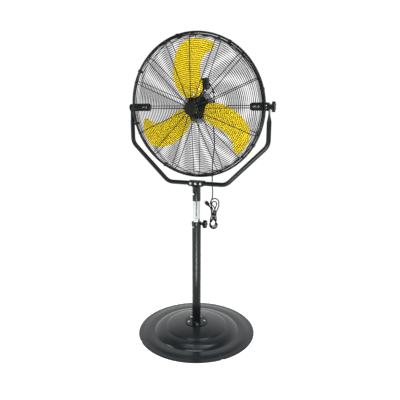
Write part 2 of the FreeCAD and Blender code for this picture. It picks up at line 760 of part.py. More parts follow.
# ---- motor
def makeMotor():
    r = motorRadius
    flangeY = rearNose + spokeRadius + wireGap
    boreR = shaftRadius + 1
    front = lathe([
        (boreR, motorFront), (r - 8, motorFront), (r, motorFront + 8),
        (r, flangeY), (ringMountOuter, flangeY), (ringMountOuter, flangeY + 3), (r, flangeY + 3),
        (r, motorSplit), (r - motorWall, motorSplit), (r - motorWall, motorFront + 9),
        (r - 10, motorFront + motorWall), (bearingRadius + 4, motorFront + motorWall),
        (bearingRadius + 4, motorFront + motorWall + bearingWidth),
        (bearingRadius, motorFront + motorWall + bearingWidth),
        (bearingRadius, motorFront + motorWall), (boreR, motorFront + motorWall),
    ])
    rear = lathe([
        (0, motorRear), (r - 10, motorRear), (r, motorRear - 10), (r, motorSplit),
        (r - motorWall, motorSplit), (r - motorWall, motorRear - 11),
        (r - 11.5, motorRear - motorWall), (bearingRadius + 4, motorRear - motorWall),
        (bearingRadius + 4, motorRear - motorWall - bearingWidth),
        (bearingRadius, motorRear - motorWall - bearingWidth),
        (bearingRadius, motorRear - motorWall), (0, motorRear - motorWall),
    ])
    yAxis = Vector(0, 1, 0)
    mountAngle = 11.25
    boltR = (ringMountInner + ringMountOuter) / 2 + 2
    spot = Vector(boltR, 0, 0)
    plateBack = rearNose - spokeRadius - wireGap
    plateFront = plateBack - 3
    mountBolt = hexBolt(m6, spot + onY(plateFront), spot + onY(flangeY + 10), 4)
    mountNut = hexNut(m6, spot + onY(flangeY + 3), spot + onY(flangeY + 8))
    mountBolts = around(yAxis, 4, mountAngle, mountBolt)
    housingFront = alongY(front)
    plate = ring(ringMountOuter, ringMountInner, onY(plateFront), onY(plateBack))
    for bolt in mountBolts:
        housingFront = housingFront.cut(bolt)
        plate = plate.cut(bolt)
    long = panScrew(m4, Vector(r - 5.2, motorRear, 0), Vector(r - 5.2, motorFront + 9, 0), 3)
    throughBolts = around(yAxis, 4, 33.75, long)
    housingRear = alongY(rear)
    for bolt in throughBolts + legScrews():
        housingFront = housingFront.cut(bolt)
        housingRear = housingRear.cut(bolt)
    saveHead("motor_front_shell", housingFront)
    saveHead("motor_rear_shell", housingRear)
    saveHead("motor_mount_ring", plate)
    mountNuts = around(yAxis, 4, mountAngle, mountNut)
    saveHead("motor_fixings", mountBolts + mountNuts + throughBolts)
    coreOuter = r - motorWall - wireGap
    saveHead("stator_core", ring(coreOuter, statorInner, onY(32), onY(72)).cut(
        Part.makeCompound([cyl(m4 + 0.1, Vector(r - 5.2, 20, 0), Vector(r - 5.2, 90, 0)).rotated(
            Vector(0, 0, 0), yAxis, 33.75 + 90 * k) for k in range(4)])))
    coil = []
    for y0, y1 in [(20, 32), (72, 84)]:
        coil.append(ring(coreOuter - 10, statorInner + 3, onY(y0), onY(y1)))
    saveHead("stator_windings", coil)
    inner = shaftRadius + runningFit
    bearings = []
    for y0 in (motorFront + motorWall, motorRear - motorWall - bearingWidth):
        bearings.append(ring(bearingRadius, inner, onY(y0), onY(y0 + bearingWidth)))
    saveHead("shaft_bearings", bearings)
    saveHead("rotor_shaft", cyl(shaftRadius, onY(shaftFront), onY(motorRear - motorWall - 1)))
    saveHead("rotor_core", ring(statorInner - airGap, shaftRadius, onY(32), onY(72)))


# ---- blades
# Outline seen from the front: x towards the leading side, u along the blade.
bladeOutline = [
    (-22, 54), (-50, 58), (-80, 88), (-100, 130), (-108, 180), (-104, 238), (-84, 300),
    (-46, 346), (0, 360), (46, 359), (86, 350), (108, 334), (107, 314), (80, 293),
    (52, 266), (36, 222), (34, 176), (40, 130), (38, 92), (20, 66),
]
drawnTip = 362.0  # the tip radius that the outline and the rivet radii are drawn for
bladeScale = bladeTipRadius / drawnTip
rivetSpots = [(71, -6.5), (102, -27.5), (102, 13.0)]


def pitchDepth(x, u):
    """Depth of the blade surface: twisted pitch plus a little camber."""
    share = (u - 60 * bladeScale) / (bladeTipRadius - 60 * bladeScale)
    pitch = math.radians(rootPitch + (tipPitch - rootPitch) * share)
    centre = (-22 + 20 * share) * bladeScale
    camber = bladeCamber * (1 - ((x - centre) / (110.0 * bladeScale)) ** 2)
    rise = (x - centre) / bladeScale * math.tan(pitch)
    return bladePlane + rise - camber * min(1.0, max(0.0, share + 0.2))


def pitchedSlab(thickness, lift):
    rows = []
    for i in range(9):
        u = (-20 + 50 * i) * bladeScale
        across = [x * bladeScale for x in range(-140, 161, 30)]
        rows.append([Vector(x, pitchDepth(x, u) + lift, u) for x in across])
    surface = Part.BSplineSurface()
    surface.interpolate(rows)
    return surface.toShape().extrude(onY(thickness))


def outlinePrism(wire):
    return Part.Face(wire).extrude(onY(200))


def makeBlades():
    yAxis = Vector(0, 1, 0)
    points = [Vector(x * bladeScale, -100, u * bladeScale) for x, u in bladeOutline]
    curve = Part.BSplineCurve()
    curve.interpolate(points, PeriodicFlag=True)
    blade = pitchedSlab(bladeThickness, 0).common(outlinePrism(Part.Wire(curve.toShape())))

    hubRadius = 22
    arm = [(-60, 96), (-50, 112), (30, 114), (38, 98), (20, 20), (-20, 10)]
    armWire = Part.makePolygon([Vector(x * bladeScale, -100, u * bladeScale) for x, u in arm + arm[:1]])
    arms = pitchedSlab(armThickness, bladeThickness + wireGap).common(outlinePrism(armWire))
    barrel = cyl(hubRadius, onY(bladePlane - 17), onY(bladePlane + 19))
    rivets = []
    for radius, angle in rivetSpots:
        x = radius * bladeScale * math.sin(math.radians(angle))
        u = radius * bladeScale * math.cos(math.radians(angle))
        depth = pitchDepth(x, u)
        slope = (pitchDepth(x + 1, u) - pitchDepth(x - 1, u)) / 2
        rise = (pitchDepth(x, u + 1) - pitchDepth(x, u - 1)) / 2
        normal = Vector(-slope, 1, -rise)
        normal.normalize()
        seat = Vector(x, depth, u)
        back = seat + normal * ((bladeThickness + armThickness) * 0.98)
        rivet = cyl(2.4, seat, back)
        rivet = rivet.fuse(Part.makeCone(4.6, 3.0, 1.6, seat - normal * 0.1, normal * -1))
        rivet = rivet.fuse(Part.makeCone(4.2, 3.0, 1.4, back, normal))
        rivets.append(rivet)
    for rivet in rivets:
        blade = blade.cut(rivet)
        arms = arms.cut(rivet)
    spider = barrel
    for copy in around(yAxis, bladeCount, 0, arms):
        spider = spider.fuse(copy)
    spider = spider.cut(cyl(shaftRadius, onY(-200), onY(200)))
    screwY = bladePlane + 11
    grub = cyl(m5, Vector(0, screwY, -shaftRadius), Vector(0, screwY, -hubRadius - 5))
    head = hexPrism(8, Vector(0, screwY, -hubRadius), Vector(0, screwY, -hubRadius - 5))
    grub = grub.fuse(head)
    spider = spider.cut(grub)
    saveHead("blade_spider", spider)
    for k, copy in enumerate(around(yAxis, bladeCount, 0, blade)):
        saveHead("blade_" + str(k + 1), copy)
    allRivets = []
    for rivet in rivets:
        allRivets.extend(around(yAxis, bladeCount, 0, rivet))
    saveHead("rotor_fixings", allRivets + [grub])


# ---- switch box
def makeBox():
    t = boxWall
    outer = block(boxLeft, boxRight, boxFront, boxRear, boxBottom, boxTop)
    upright = [e for e in outer.Edges if abs(e.tangentAt(e.FirstParameter).y) > 0.9]
    outer = outer.makeFillet(5, upright)
    inner = block(boxLeft + t, boxRight - t, boxFront + t, boxRear + 5, boxBottom + t, boxTop - t)
    tub = outer.cut(inner)
    nozzle = cyl(5, Vector(boxRight - 5, exitY, exitZ), Vector(boxRight + 4, exitY, exitZ))
    tub = tub.cut(nozzle)
    feetScrews = []
    for x in (boxLeft + 14, boxLeft + 44):
        feetScrews.append(panScrew(m4, Vector(x, motorRear + 12, boxBottom - 2.5),
                                   Vector(x, motorRear + 12, boxBottom + 5), 2.5))
    lid = block(boxLeft, boxRight, boxRear, boxRear + t, boxBottom, boxTop)
    lid = lid.makeFillet(5, [e for e in lid.Edges if abs(e.tangentAt(e.FirstParameter).y) > 0.9])
    switchX = (boxLeft + boxRight) / 2 - 2
    switchZ = (boxBottom + boxTop) / 2
    stem = cyl(3, Vector(switchX, boxRear - 2, switchZ), Vector(switchX, boxRear + 16, switchZ))
    lid = lid.cut(cyl(4.5, Vector(switchX, boxRear - 1, switchZ), Vector(switchX, boxRear + 9, switchZ)))
    lidScrews = []
    bosses = []
    for x in (boxLeft + 6, boxRight - 6):
        for z in (boxBottom + 6, boxTop - 6):
            lidScrews.append(panScrew(m4, Vector(x, boxRear + t, z), Vector(x, boxRear - 9, z), 2))
            bosses.append(cyl(3.6, Vector(x, boxFront + t, z), Vector(x, boxRear, z)))
    for boss in bosses:
        tub = tub.fuse(boss)
    for screw in lidScrews + feetScrews:
        lid = lid.cut(screw)
        tub = tub.cut(screw)
    saveHead("switch_box", tub)
    saveHead("switch_box_lid", lid)
    saveHead("box_screws", lidScrews + feetScrews)
    body = block(switchX - 14, switchX + 14, boxRear - 26, boxRear, switchZ - 14, switchZ + 14)
    collarRing = cyl(4.4, Vector(switchX, boxRear, switchZ), Vector(switchX, boxRear + 3, switchZ))
    well = cyl(3 + runningFit, Vector(switchX, boxRear - 2.1, switchZ),
               Vector(switchX, boxRear + 9, switchZ))
    saveHead("rotary_switch", body.fuse(collarRing).cut(well))
    knobStart = Vector(switchX, boxRear + t + 0.8, switchZ)
    knobEnd = Vector(switchX, boxRear + t + 15, switchZ)
    dial = Part.makeCone(15, 12.5, 14.2, knobStart, Vector(0, 1, 0))
    grip = block(switchX - 3, switchX + 3, knobEnd.y, knobEnd.y + 5, switchZ - 13, switchZ + 13)
    grip = grip.common(cyl(12.4, knobEnd, knobEnd + onY(6)))
    saveHead("speed_knob", [dial.fuse(grip).cut(stem), stem])
    capacitor = block(boxLeft + 20, boxRight - 17, boxFront + t, boxRear - 27.5,
                      boxBottom + 25, boxTop - 13)
    saveHead("capacitor", capacitor.makeFillet(4, [e for e in capacitor.Edges if e.Length > 30]))
    back = motorRear
    leg = block(boxLeft + 4, boxLeft + 54, back, back + t, 20, boxBottom)
    shelf = block(boxLeft + 4, boxLeft + 54, back, boxRear - 6, boxBottom - t, boxBottom)
    bracket = leg.fuse(shelf)
    for screw in feetScrews + legScrews():
        bracket = bracket.cut(screw)
    saveHead("box_bracket", [bracket] + legScrews())


# ---- cord: route points by hand, from the gland to the top of the hank
def exitPoint():
    return headPoint(Vector(boxRight + 4, exitY, exitZ))


def cordRoute():
    start = exitPoint()
    slope = math.radians(glandSlope)
    first = Vector(cordPlane, start.y, start.z - (cordPlane - start.x) * math.tan(slope))
    lead = Vector(math.cos(slope), 0, -math.sin(slope))
    return first, [
        first - lead * 6,
        first + lead * 14,
        Vector(65.5, 106, 1464),
        Vector(65, 114, 1425),
        Vector(62, 120, 1350),
        Vector(60, 121, 1272),
        Vector(67, 119, 1206),
        Vector(70, 118, 1150),
        Vector(61, 119, 1094),
        Vector(55.5, 120, 1036),
        Vector(57, 121, 976),
        Vector(54, 122, 925),
        Vector(57.5, 127, 878),
        Vector(55, 131, 834),
    ]


hankTop = 834.0
hankBottom = 634.0
hankLeft = 35.0
hankRight = 101.0
hankFront = 105.0
hankRear = 135.0


def cordRadii(points):
    """Each bend as large as its two runs allow."""
    radii = []
    for before, corner, after in zip(points, points[1:], points[2:]):
        shorter = min((corner - before).Length, (after - corner).Length)
        turn = (corner - before).getAngle(after - corner)
        radii.append(0.45 * shorter / math.tan(turn / 2))
    return radii


def makeCord():
    first, points = cordRoute()
    radii = cordRadii(points)
    print("cord bend radii", [round(r, 1) for r in radii])
    path = roundedPath(points, radii)
    tube = sweepRound(path, cordRadius)
    aside = block(cordPlane, 400, -400, 400, 0, 3000)
    lead = tube.common(aside)
    expected = math.pi * cordRadius ** 2 * (path.Length - 6)
    print("cord length", round(path.Length - 6, 1), "volume", round(lead.Volume),
          "expected", round(expected))
    save("cord_lead", lead)

    start = exitPoint()
    lockNut = headPlace(ring(9, 4.9, Vector(boxRight, exitY, exitZ), Vector(boxRight + 4, exitY, exitZ)))
    slope = math.radians(glandSlope)
    ahead = Vector(math.cos(slope), 0, -math.sin(slope))
    taper = Part.makeCone(7.5, 4.6, 30, start - ahead * 6, ahead)
    taper = taper.common(block(start.x, cordPlane, 0, 300, start.z - 60, start.z + 60))
    stem = headPlace(cyl(4.9, Vector(boxRight - 4, exitY, exitZ), Vector(boxRight + 4, exitY, exitZ)))
    save("cord_gland", [taper.fuse(stem), lockNut])

    flatTop = 18
    edge = 26
    midX = (hankLeft + hankRight) / 2
    outline = [
        (hankLeft, hankTop - edge), (midX - flatTop, hankTop), (midX + flatTop, hankTop),
        (hankRight, hankTop - edge), (hankRight, hankBottom + edge),
        (midX + flatTop, hankBottom), (midX - flatTop, hankBottom), (hankLeft, hankBottom + edge),
    ]
    corners = [Vector(x, hankFront, z) for x, z in outline]
    hank = Part.Face(Part.makePolygon(corners + corners[:1])).extrude(onY(hankRear - hankFront))
    save("cord_hank", hank)
    midZ = (hankTop + hankBottom) / 2
    tie = block(hankLeft - 1.5, hankRight + 1.5, hankFront - 1.5, hankRear + 1.5, midZ - 6, midZ + 6)
    save("cord_tie", tie.cut(block(hankLeft, hankRight, hankFront, hankRear, midZ - 7, midZ + 7)))

    tail = Vector(hankLeft + 6, 111, hankTop - 52)
    out = Vector(-math.cos(math.radians(40)), 0, math.sin(math.radians(40)))
    relief = Part.makeCone(4.4, 6.5, 22, tail, out)
    relief = relief.common(block(-100, hankLeft, 0, 300, 0, 3000))
    bodyStart = tail + out * 22
    grip = Part.makeCone(8.5, 12, 24, bodyStart, out)
    frame = FreeCAD.Rotation(Vector(0, 0, 1), out)
    bladeEnd = bodyStart + out * 24
    pins = []
    for dx, dy, w, h, length in [(-6.35, 3, 1.5, 6.3, 16), (6.35, 3, 1.5, 6.3, 16)]:
        pin = Part.makeBox(w, h, length, Vector(dx - w / 2, dy - h / 2, 0))
        pin.Placement = FreeCAD.Placement(bladeEnd, frame)
        pins.append(pin)
    earth = Part.makeCylinder(2.4, 18, Vector(0, -7, 0))
    earth.Placement = FreeCAD.Placement(bladeEnd, frame)
    pins.append(earth)
    save("cord_plug", [relief.fuse(grip)] + pins)


makeBase()
makePole()
makeYoke()
makeGuards()
makeClips()
makeBrackets()
makeMotor()
makeBlades()
makeBox()
makeCord()
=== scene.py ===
import json
import math

import bmesh
import bpy
from mathutils import Matrix, Vector


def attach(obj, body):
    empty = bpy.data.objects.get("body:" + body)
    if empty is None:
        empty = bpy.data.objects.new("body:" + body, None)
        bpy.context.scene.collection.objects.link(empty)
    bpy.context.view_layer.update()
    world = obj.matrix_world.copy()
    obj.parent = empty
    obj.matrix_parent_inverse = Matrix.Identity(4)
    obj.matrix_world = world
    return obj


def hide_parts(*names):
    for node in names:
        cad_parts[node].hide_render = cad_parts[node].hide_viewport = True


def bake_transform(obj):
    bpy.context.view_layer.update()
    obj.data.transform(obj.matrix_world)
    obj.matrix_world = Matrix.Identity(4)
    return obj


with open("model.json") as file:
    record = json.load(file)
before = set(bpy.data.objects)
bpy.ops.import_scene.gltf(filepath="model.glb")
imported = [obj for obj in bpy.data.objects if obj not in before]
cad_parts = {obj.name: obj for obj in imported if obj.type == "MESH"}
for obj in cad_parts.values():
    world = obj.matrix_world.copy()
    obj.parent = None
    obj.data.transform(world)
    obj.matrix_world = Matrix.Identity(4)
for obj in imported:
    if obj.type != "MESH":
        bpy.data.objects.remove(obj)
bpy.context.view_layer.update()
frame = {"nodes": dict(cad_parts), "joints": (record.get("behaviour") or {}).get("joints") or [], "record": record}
joints = {joint["name"]: joint for joint in frame["joints"]}
pivot = Vector(joints["head_tilt"]["pos_m"])
spinAxis = Vector(joints["blade_spin"]["axis"])
headTilt = math.atan2(spinAxis.z, spinAxis.y)
onHead = Matrix.Translation(pivot) @ Matrix.Rotation(headTilt, 4, "X")  # level head to tilted head
print("frame loaded")


# ---- shader maths
class Signal:
    def __init__(self, tree, socket):
        self.tree = tree
        self.socket = socket

    def math(self, operation, *values):
        return feedNode(self.tree, "ShaderNodeMath", {"operation": operation}, values)

    def __add__(self, other):
        return self.math("ADD", self, other)

    def __sub__(self, other):
        return self.math("SUBTRACT", self, other)

    def __rsub__(self, other):
        return self.math("SUBTRACT", other, self)

    def __mul__(self, other):
        return self.math("MULTIPLY", self, other)

    __radd__ = __add__
    __rmul__ = __mul__


def connect(tree, spot, value):
    if isinstance(value, Signal):
        tree.links.new(value.socket, spot)
    elif value is not None:
        spot.default_value = value


def feedNode(tree, kind, settings=None, values=(), output=0):
    node = tree.nodes.new(kind)
    for key, value in (settings or {}).items():
        setattr(node, key, value)
    spots = values.items() if isinstance(values, dict) else enumerate(values)
    for spot, value in spots:
        connect(tree, node.inputs[spot], value)
    return Signal(tree, node.outputs[output])


def ramp(tree, signal, low, high):
    # 0 at low, 1 at high
    return feedNode(tree, "ShaderNodeMapRange", {"clamp": True},
                    {"Value": signal, "From Min": low, "From Max": high})


class Finish:
    # bounce is the refractive index: the lower it is, the darker a black stays beside something bright
    def __init__(self, name, colour, roughness, metallic=0.0, bounce=1.5):
        self.material = bpy.data.materials.new(name)
        self.material.use_nodes = True
        self.tree = self.material.node_tree
        self.shader = self.tree.nodes["Principled BSDF"]
        self.set("Base Color", (*colour, 1))
        self.set("Roughness", roughness)
        self.set("Metallic", metallic)
        self.set("IOR", bounce)
        self.material.diffuse_color = (*colour, 1)

    def node(self, kind, settings=None, values=(), output=0):
        return feedNode(self.tree, kind, settings, values, output)

    def set(self, socket, value):
        connect(self.tree, self.shader.inputs[socket], value)

    def place(self, stretch=(1, 1, 1), turn=(0, 0, 0)):
        where = self.node("ShaderNodeTexCoord", output=3)
        return self.node("ShaderNodeMapping", values={"Vector": where, "Scale": stretch, "Rotation": turn})

    def noise(self, scale, detail, stretch=(1, 1, 1), uneven=0.5):
        return self.node("ShaderNodeTexNoise", values={
            "Vector": self.place(stretch), "Scale": scale, "Detail": detail, "Roughness": uneven})

    def mask(self, signal, low, high):
        return ramp(self.tree, signal, low, high)

    def blendColour(self, amount, first, second):
        node = self.tree.nodes.new("ShaderNodeMix")
        node.data_type = "RGBA"
        connect(self.tree, node.inputs[0], amount)
        connect(self.tree, node.inputs[6], (*first, 1))
        connect(self.tree, node.inputs[7], (*second, 1))
        return Signal(self.tree, node.outputs[2])

    def bump(self, height, strength, distance):
        return self.node("ShaderNodeBump", values={
            "Strength": strength, "Distance": distance, "Height": height})


# ---- finishes
finishes = {}

# cloud is settled dust, speck is grit, rub is faint wear and peel the paint's soft orange peel; share is how
# far each goes towards the dust's colour
paintWear = {
    "cloud": {"noise": {"scale": 5.0, "detail": 3.0}, "range": (0.35, 0.75), "share": 0.18},
    "speck": {"noise": {"scale": 260.0, "detail": 2.0, "uneven": 0.7}, "range": (0.7, 0.82), "share": 0.15,
              "rough": 0.05},
    "rub": {"noise": {"scale": 18.0, "detail": 4.0, "stretch": (1, 1, 4)}, "range": (0.45, 0.7)},
    "peel": {"detail": 1.0, "strength": 0.04, "depth": 0.0002},
}
paints = {
    "baseEnamel": {"colour": (0.013, 0.017, 0.020), "dust": (0.03, 0.035, 0.038), "roughness": 0.2,
                   "spread": 0.05, "bounce": 1.5, "peel": 300.0},
    "blackPowder": {"colour": (0.005, 0.008, 0.009), "dust": (0.013, 0.017, 0.018), "roughness": 0.2,
                    "spread": 0.05, "bounce": 1.32, "peel": 500.0},
    "wirePaint": {"colour": (0.005, 0.007, 0.008), "dust": (0.012, 0.015, 0.016), "roughness": 0.3,
                  "spread": 0.06, "bounce": 1.3, "peel": 900.0},
    "motorPaint": {"colour": (0.003, 0.004, 0.003), "dust": (0.008, 0.009, 0.008), "roughness": 0.4,
                   "spread": 0.08, "bounce": 1.2, "peel": 700.0},
    "bladePaint": {"colour": (0.86, 0.63, 0.0), "dust": (0.80, 0.58, 0.001), "roughness": 0.5,
                   "spread": 0.05, "bounce": 1.25, "peel": 400.0},
}


def paintFinish(name, colour, dust, roughness, spread, bounce, peel):
    # sprayed paint: a soft orange peel, a little settled dust, faint rubbing
    f = Finish(name, colour, roughness, bounce=bounce)
    cloud, speck, rub, skin = (paintWear[part] for part in ("cloud", "speck", "rub", "peel"))
    dusty, gritty, worn = (f.mask(f.noise(**part["noise"]), *part["range"]) for part in (cloud, speck, rub))
    f.set("Base Color", f.blendColour(dusty * cloud["share"] + gritty * speck["share"], colour, dust))
    f.set("Roughness", roughness - spread * 0.5 + worn * spread + gritty * speck["rough"])
    f.set("Normal", f.bump(f.noise(peel, skin["detail"]), skin["strength"], skin["depth"]))
    finishes[name] = f.material


for name, look in paints.items():
    paintFinish(name, **look)

# flow marks lighten the colour and change the roughness; grain is the spark-eroded skin of the mould
mouldWear = {
    "flow": {"noise": {"scale": 30.0, "detail": 3.0, "stretch": (1, 3, 1)}, "range": (0.3, 0.8), "share": 0.5,
             "rough": 0.12},
    "lighter": {"times": 1.5, "plus": 0.003}, "smoother": 0.05,
    "grain": {"detail": 2.0, "strength": 0.12, "depth": 0.0002},
}
plastics = {
    "knobPlastic": {"colour": (0.003, 0.005, 0.005), "roughness": 0.38, "grain": 900.0},
    "capPlastic": {"colour": (0.006, 0.007, 0.005), "roughness": 0.55, "grain": 800.0, "bounce": 1.18},
    "boxPlastic": {"colour": (0.007, 0.008, 0.008), "roughness": 0.36, "grain": 900.0},
    "cordSheath": {"colour": (0.004, 0.006, 0.007), "roughness": 0.36, "grain": 1200.0, "bounce": 1.25},
    "padRubber": {"colour": (0.016, 0.016, 0.016), "roughness": 0.75, "grain": 800.0},
    "capacitorCase": {"colour": (0.6, 0.6, 0.56), "roughness": 0.35, "grain": 900.0},
}


def plasticFinish(name, colour, roughness, grain, bounce=1.3):
    # moulded plastic: fine spark grain and soft flow marks
    f = Finish(name, colour, roughness, bounce=bounce)
    flow, lighter, skin = mouldWear["flow"], mouldWear["lighter"], mouldWear["grain"]
    marks = f.mask(f.noise(**flow["noise"]), *flow["range"])
    light = tuple(min(1, c * lighter["times"] + lighter["plus"]) for c in colour)
    f.set("Base Color", f.blendColour(marks * flow["share"], colour, light))
    f.set("Roughness", roughness - mouldWear["smoother"] + marks * flow["rough"])
    f.set("Normal", f.bump(f.noise(grain, skin["detail"]), skin["strength"], skin["depth"]))
    finishes[name] = f.material


for name, look in plastics.items():
    plasticFinish(name, **look)

# bloom is a cloudy stain, drawn the fine lines along one way
metalWear = {
    "bloom": {"noise": {"scale": 35.0, "detail": 4.0}, "range": (0.4, 0.75), "share": 0.6, "rough": 0.1},
    "drawn": {"detail": 3.0, "stretch": (1, 1, 0.03), "rough": 0.06, "strength": 0.06, "depth": 0.0002},
}
metals = {
    "zincPlate": {"colour": (0.66, 0.70, 0.71), "stain": (0.55, 0.59, 0.60),
                  "roughness": 0.24, "lines": 1500.0},
    "dullZinc": {"colour": (0.42, 0.44, 0.45), "stain": (0.34, 0.36, 0.37),
                 "roughness": 0.34, "lines": 1500.0},
    "chromePlate": {"colour": (0.52, 0.56, 0.54), "stain": (0.46, 0.51, 0.47),
                    "roughness": 0.05, "lines": 900.0},
    "castIron": {"colour": (0.1, 0.1, 0.1), "stain": (0.07, 0.06, 0.05),
                 "roughness": 0.6, "lines": 300.0},
    "brassPin": {"colour": (0.30, 0.26, 0.17), "stain": (0.22, 0.19, 0.12),
                 "roughness": 0.3, "lines": 2500.0},
}


def metalFinish(name, colour, stain, roughness, lines):
    # plated or drawn metal: fine lines along one way and a cloudy bloom
    f = Finish(name, colour, roughness, metallic=1.0)
    bloom, drawn = metalWear["bloom"], metalWear["drawn"]
    cloudy = f.mask(f.noise(**bloom["noise"]), *bloom["range"])
    lined = f.noise(lines, drawn["detail"], drawn["stretch"])
    f.set("Base Color", f.blendColour(cloudy * bloom["share"], colour, stain))
    f.set("Roughness", roughness + cloudy * bloom["rough"] + lined * drawn["rough"])
    f.set("Normal", f.bump(lined, drawn["strength"], drawn["depth"]))
    finishes[name] = f.material


for name, look in metals.items():
    metalFinish(name, **look)

banding = {"distortion": 0.4, "detail": 1.0, "strength": 0.4, "depth": 0.0005}
layers = {
    "coreSheets": {"colour": (0.45, 0.45, 0.46), "dark": (0.2, 0.2, 0.21), "roughness": 0.4, "bands": 160.0},
    "copperWire": {"colour": (0.75, 0.34, 0.14), "dark": (0.35, 0.13, 0.05), "roughness": 0.3,
                   "bands": 220.0},
}


def layeredFinish(name, colour, dark, roughness, bands):
    # stacked steel sheets or wound wire: bands across the spin axis
    f = Finish(name, colour, roughness, metallic=1.0)
    across = f.place(turn=(-headTilt, 0, 0))
    stack = f.node("ShaderNodeTexWave", {"bands_direction": "Y"}, {
        "Vector": across, "Scale": bands, "Distortion": banding["distortion"], "Detail": banding["detail"]},
        output=1)
    f.set("Base Color", f.blendColour(stack, dark, colour))
    f.set("Normal", f.bump(stack, banding["strength"], banding["depth"]))
    finishes[name] = f.material


for name, look in layers.items():
    layeredFinish(name, **look)
print("finishes made:", len(finishes))


# ---- piece helpers
mergeWithin = 1e-6  # metres


def addPiece(name, bm, finish, body, nodes=(), sharp=35, place=None):
    # sharp is the angle between faces, in degrees, past which an edge stays hard; place moves the mesh itself
    if place is not None:
        bm.transform(place)
    bmesh.ops.recalc_face_normals(bm, faces=bm.faces)
    mesh = bpy.data.meshes.new(name)
    bm.to_mesh(mesh)
    bm.free()
    mesh.shade_smooth()
    mesh.set_sharp_from_angle(angle=math.radians(sharp))
    mesh.materials.append(finishes[finish])
    piece = bpy.data.objects.new(name, mesh)
    bpy.context.scene.collection.objects.link(piece)
    if body:
        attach(piece, body)
    if nodes:
        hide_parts(*nodes)
    return piece


def bodyOf(node):
    groups = frame["record"]["behaviour"]["bodies"]
    return next(body for body, nodes in groups.items() if node in nodes)


copying = {"merge": 2e-6, "flat": 0.4, "sharp": 32, "eased": 40, "segments": 2}  # metres and degrees


def refine(node, finish, edge):
    # a merged copy of a CAD node, with its flat faces joined and its edges eased
    bm = bmesh.new()
    bm.from_mesh(frame["nodes"][node].data)
    bmesh.ops.remove_doubles(bm, verts=bm.verts, dist=copying["merge"])
    bmesh.ops.dissolve_limit(bm, angle_limit=math.radians(copying["flat"]), verts=bm.verts, edges=bm.edges)
    piece = addPiece(node + "_look", bm, finish, bodyOf(node), [node], copying["sharp"])
    if edge:
        ease = piece.modifiers.new("ease", "BEVEL")
        ease.width = edge
        ease.segments = copying["segments"]
        ease.limit_method = "ANGLE"
        ease.angle_limit = math.radians(copying["eased"])
        ease.harden_normals = True


def easeEdges(bm, width):
    bmesh.ops.bevel(bm, geom=bm.edges[:], offset=width, affect="EDGES", segments=2, profile=0.5, material=-1)


def circleAt(bm, radius, sides, place):
    return bmesh.ops.create_circle(bm, cap_ends=False, radius=radius, segments=sides, matrix=place)["verts"]


def spinRing(bm, radius, depth, wire, sides, steps):
    # a round wire bent into a ring about the head's own spin axis
    verts = circleAt(bm, wire, sides, Matrix.Translation((radius, depth, 0)))
    edges = list({edge for vert in verts for edge in vert.link_edges})
    bmesh.ops.spin(bm, geom=verts + edges, cent=(0, 0, 0), axis=(0, 1, 0), angle=2 * math.pi,
                   steps=steps, use_merge=True, use_duplicate=False)


def spinProfile(bm, points, steps, level=False):
    # an outline turned once: in (radius, height) about Z, or level, in (radius, depth) about Y
    verts = [bm.verts.new((r, along, 0) if level else (r, 0, along)) for r, along in points]
    edges = [bm.edges.new(pair) for pair in zip(verts, verts[1:])]
    axis = (0, 1, 0) if level else (0, 0, 1)
    bmesh.ops.spin(bm, geom=verts + edges, cent=(0, 0, 0), axis=axis, angle=2 * math.pi,
                   steps=steps, use_merge=True, use_duplicate=False)
    bmesh.ops.remove_doubles(bm, verts=bm.verts, dist=mergeWithin)


def pullTube(bm, line, radius, sides):
    # a round tube pulled along a line of points, section by section
    line = [Vector(p) for p in line]
    ahead = (line[1] - line[0]).normalized()
    turn = ahead.to_track_quat("Z", "Y")
    verts = circleAt(bm, radius, sides, Matrix.Translation(line[0]) @ turn.to_matrix().to_4x4())
    edges = list({edge for vert in verts for edge in vert.link_edges})
    bmesh.ops.contextual_create(bm, geom=edges)
    for k in range(1, len(line)):
        grown = bmesh.ops.extrude_edge_only(bm, edges=edges)["geom"]
        verts = [g for g in grown if isinstance(g, bmesh.types.BMVert)]
        edges = [g for g in grown if isinstance(g, bmesh.types.BMEdge)]
        following = (line[min(k + 1, len(line) - 1)] - line[k - 1]).normalized()
        bend = ahead.rotation_difference(following)
        bmesh.ops.rotate(bm, verts=verts, cent=line[k - 1], matrix=bend.to_matrix())
        bmesh.ops.translate(bm, verts=verts, vec=line[k] - line[k - 1])
        ahead = following
    bmesh.ops.contextual_create(bm, geom=edges)


def drawnMesh(name, curve):
    # the curve as a mesh, with the curve's own object taken away again
    holder = bpy.data.objects.new(name, curve)
    bpy.context.scene.collection.objects.link(holder)
    bpy.context.view_layer.update()
    mesh = bpy.data.meshes.new_from_object(holder)
    bpy.data.objects.remove(holder)
    return mesh


# ---- camera, lights, floor
camera = {"place": (0.8472, -2.1593, 1.3289), "forward": (-0.3493, 0.9141, -0.2058),
          "roll": -0.13, "lens": 35.897, "sensor": 36, "farthest": 100}


def makeCamera():
    look = Vector(camera["forward"]).normalized()
    right = look.cross(Vector((0, 0, 1))).normalized()
    up = right.cross(look)
    turn = Matrix((right, up, -look)).transposed().to_4x4()
    roll = Matrix.Rotation(math.radians(camera["roll"]), 4, look)
    data = bpy.data.cameras.new("camera")
    data.lens = camera["lens"]
    data.sensor_width = camera["sensor"]
    data.clip_end = camera["farthest"]
    obj = bpy.data.objects.new("camera", data)
    bpy.context.scene.collection.objects.link(obj)
    obj.matrix_world = Matrix.Translation(camera["place"]) @ roll @ turn
    bpy.context.scene.camera = obj


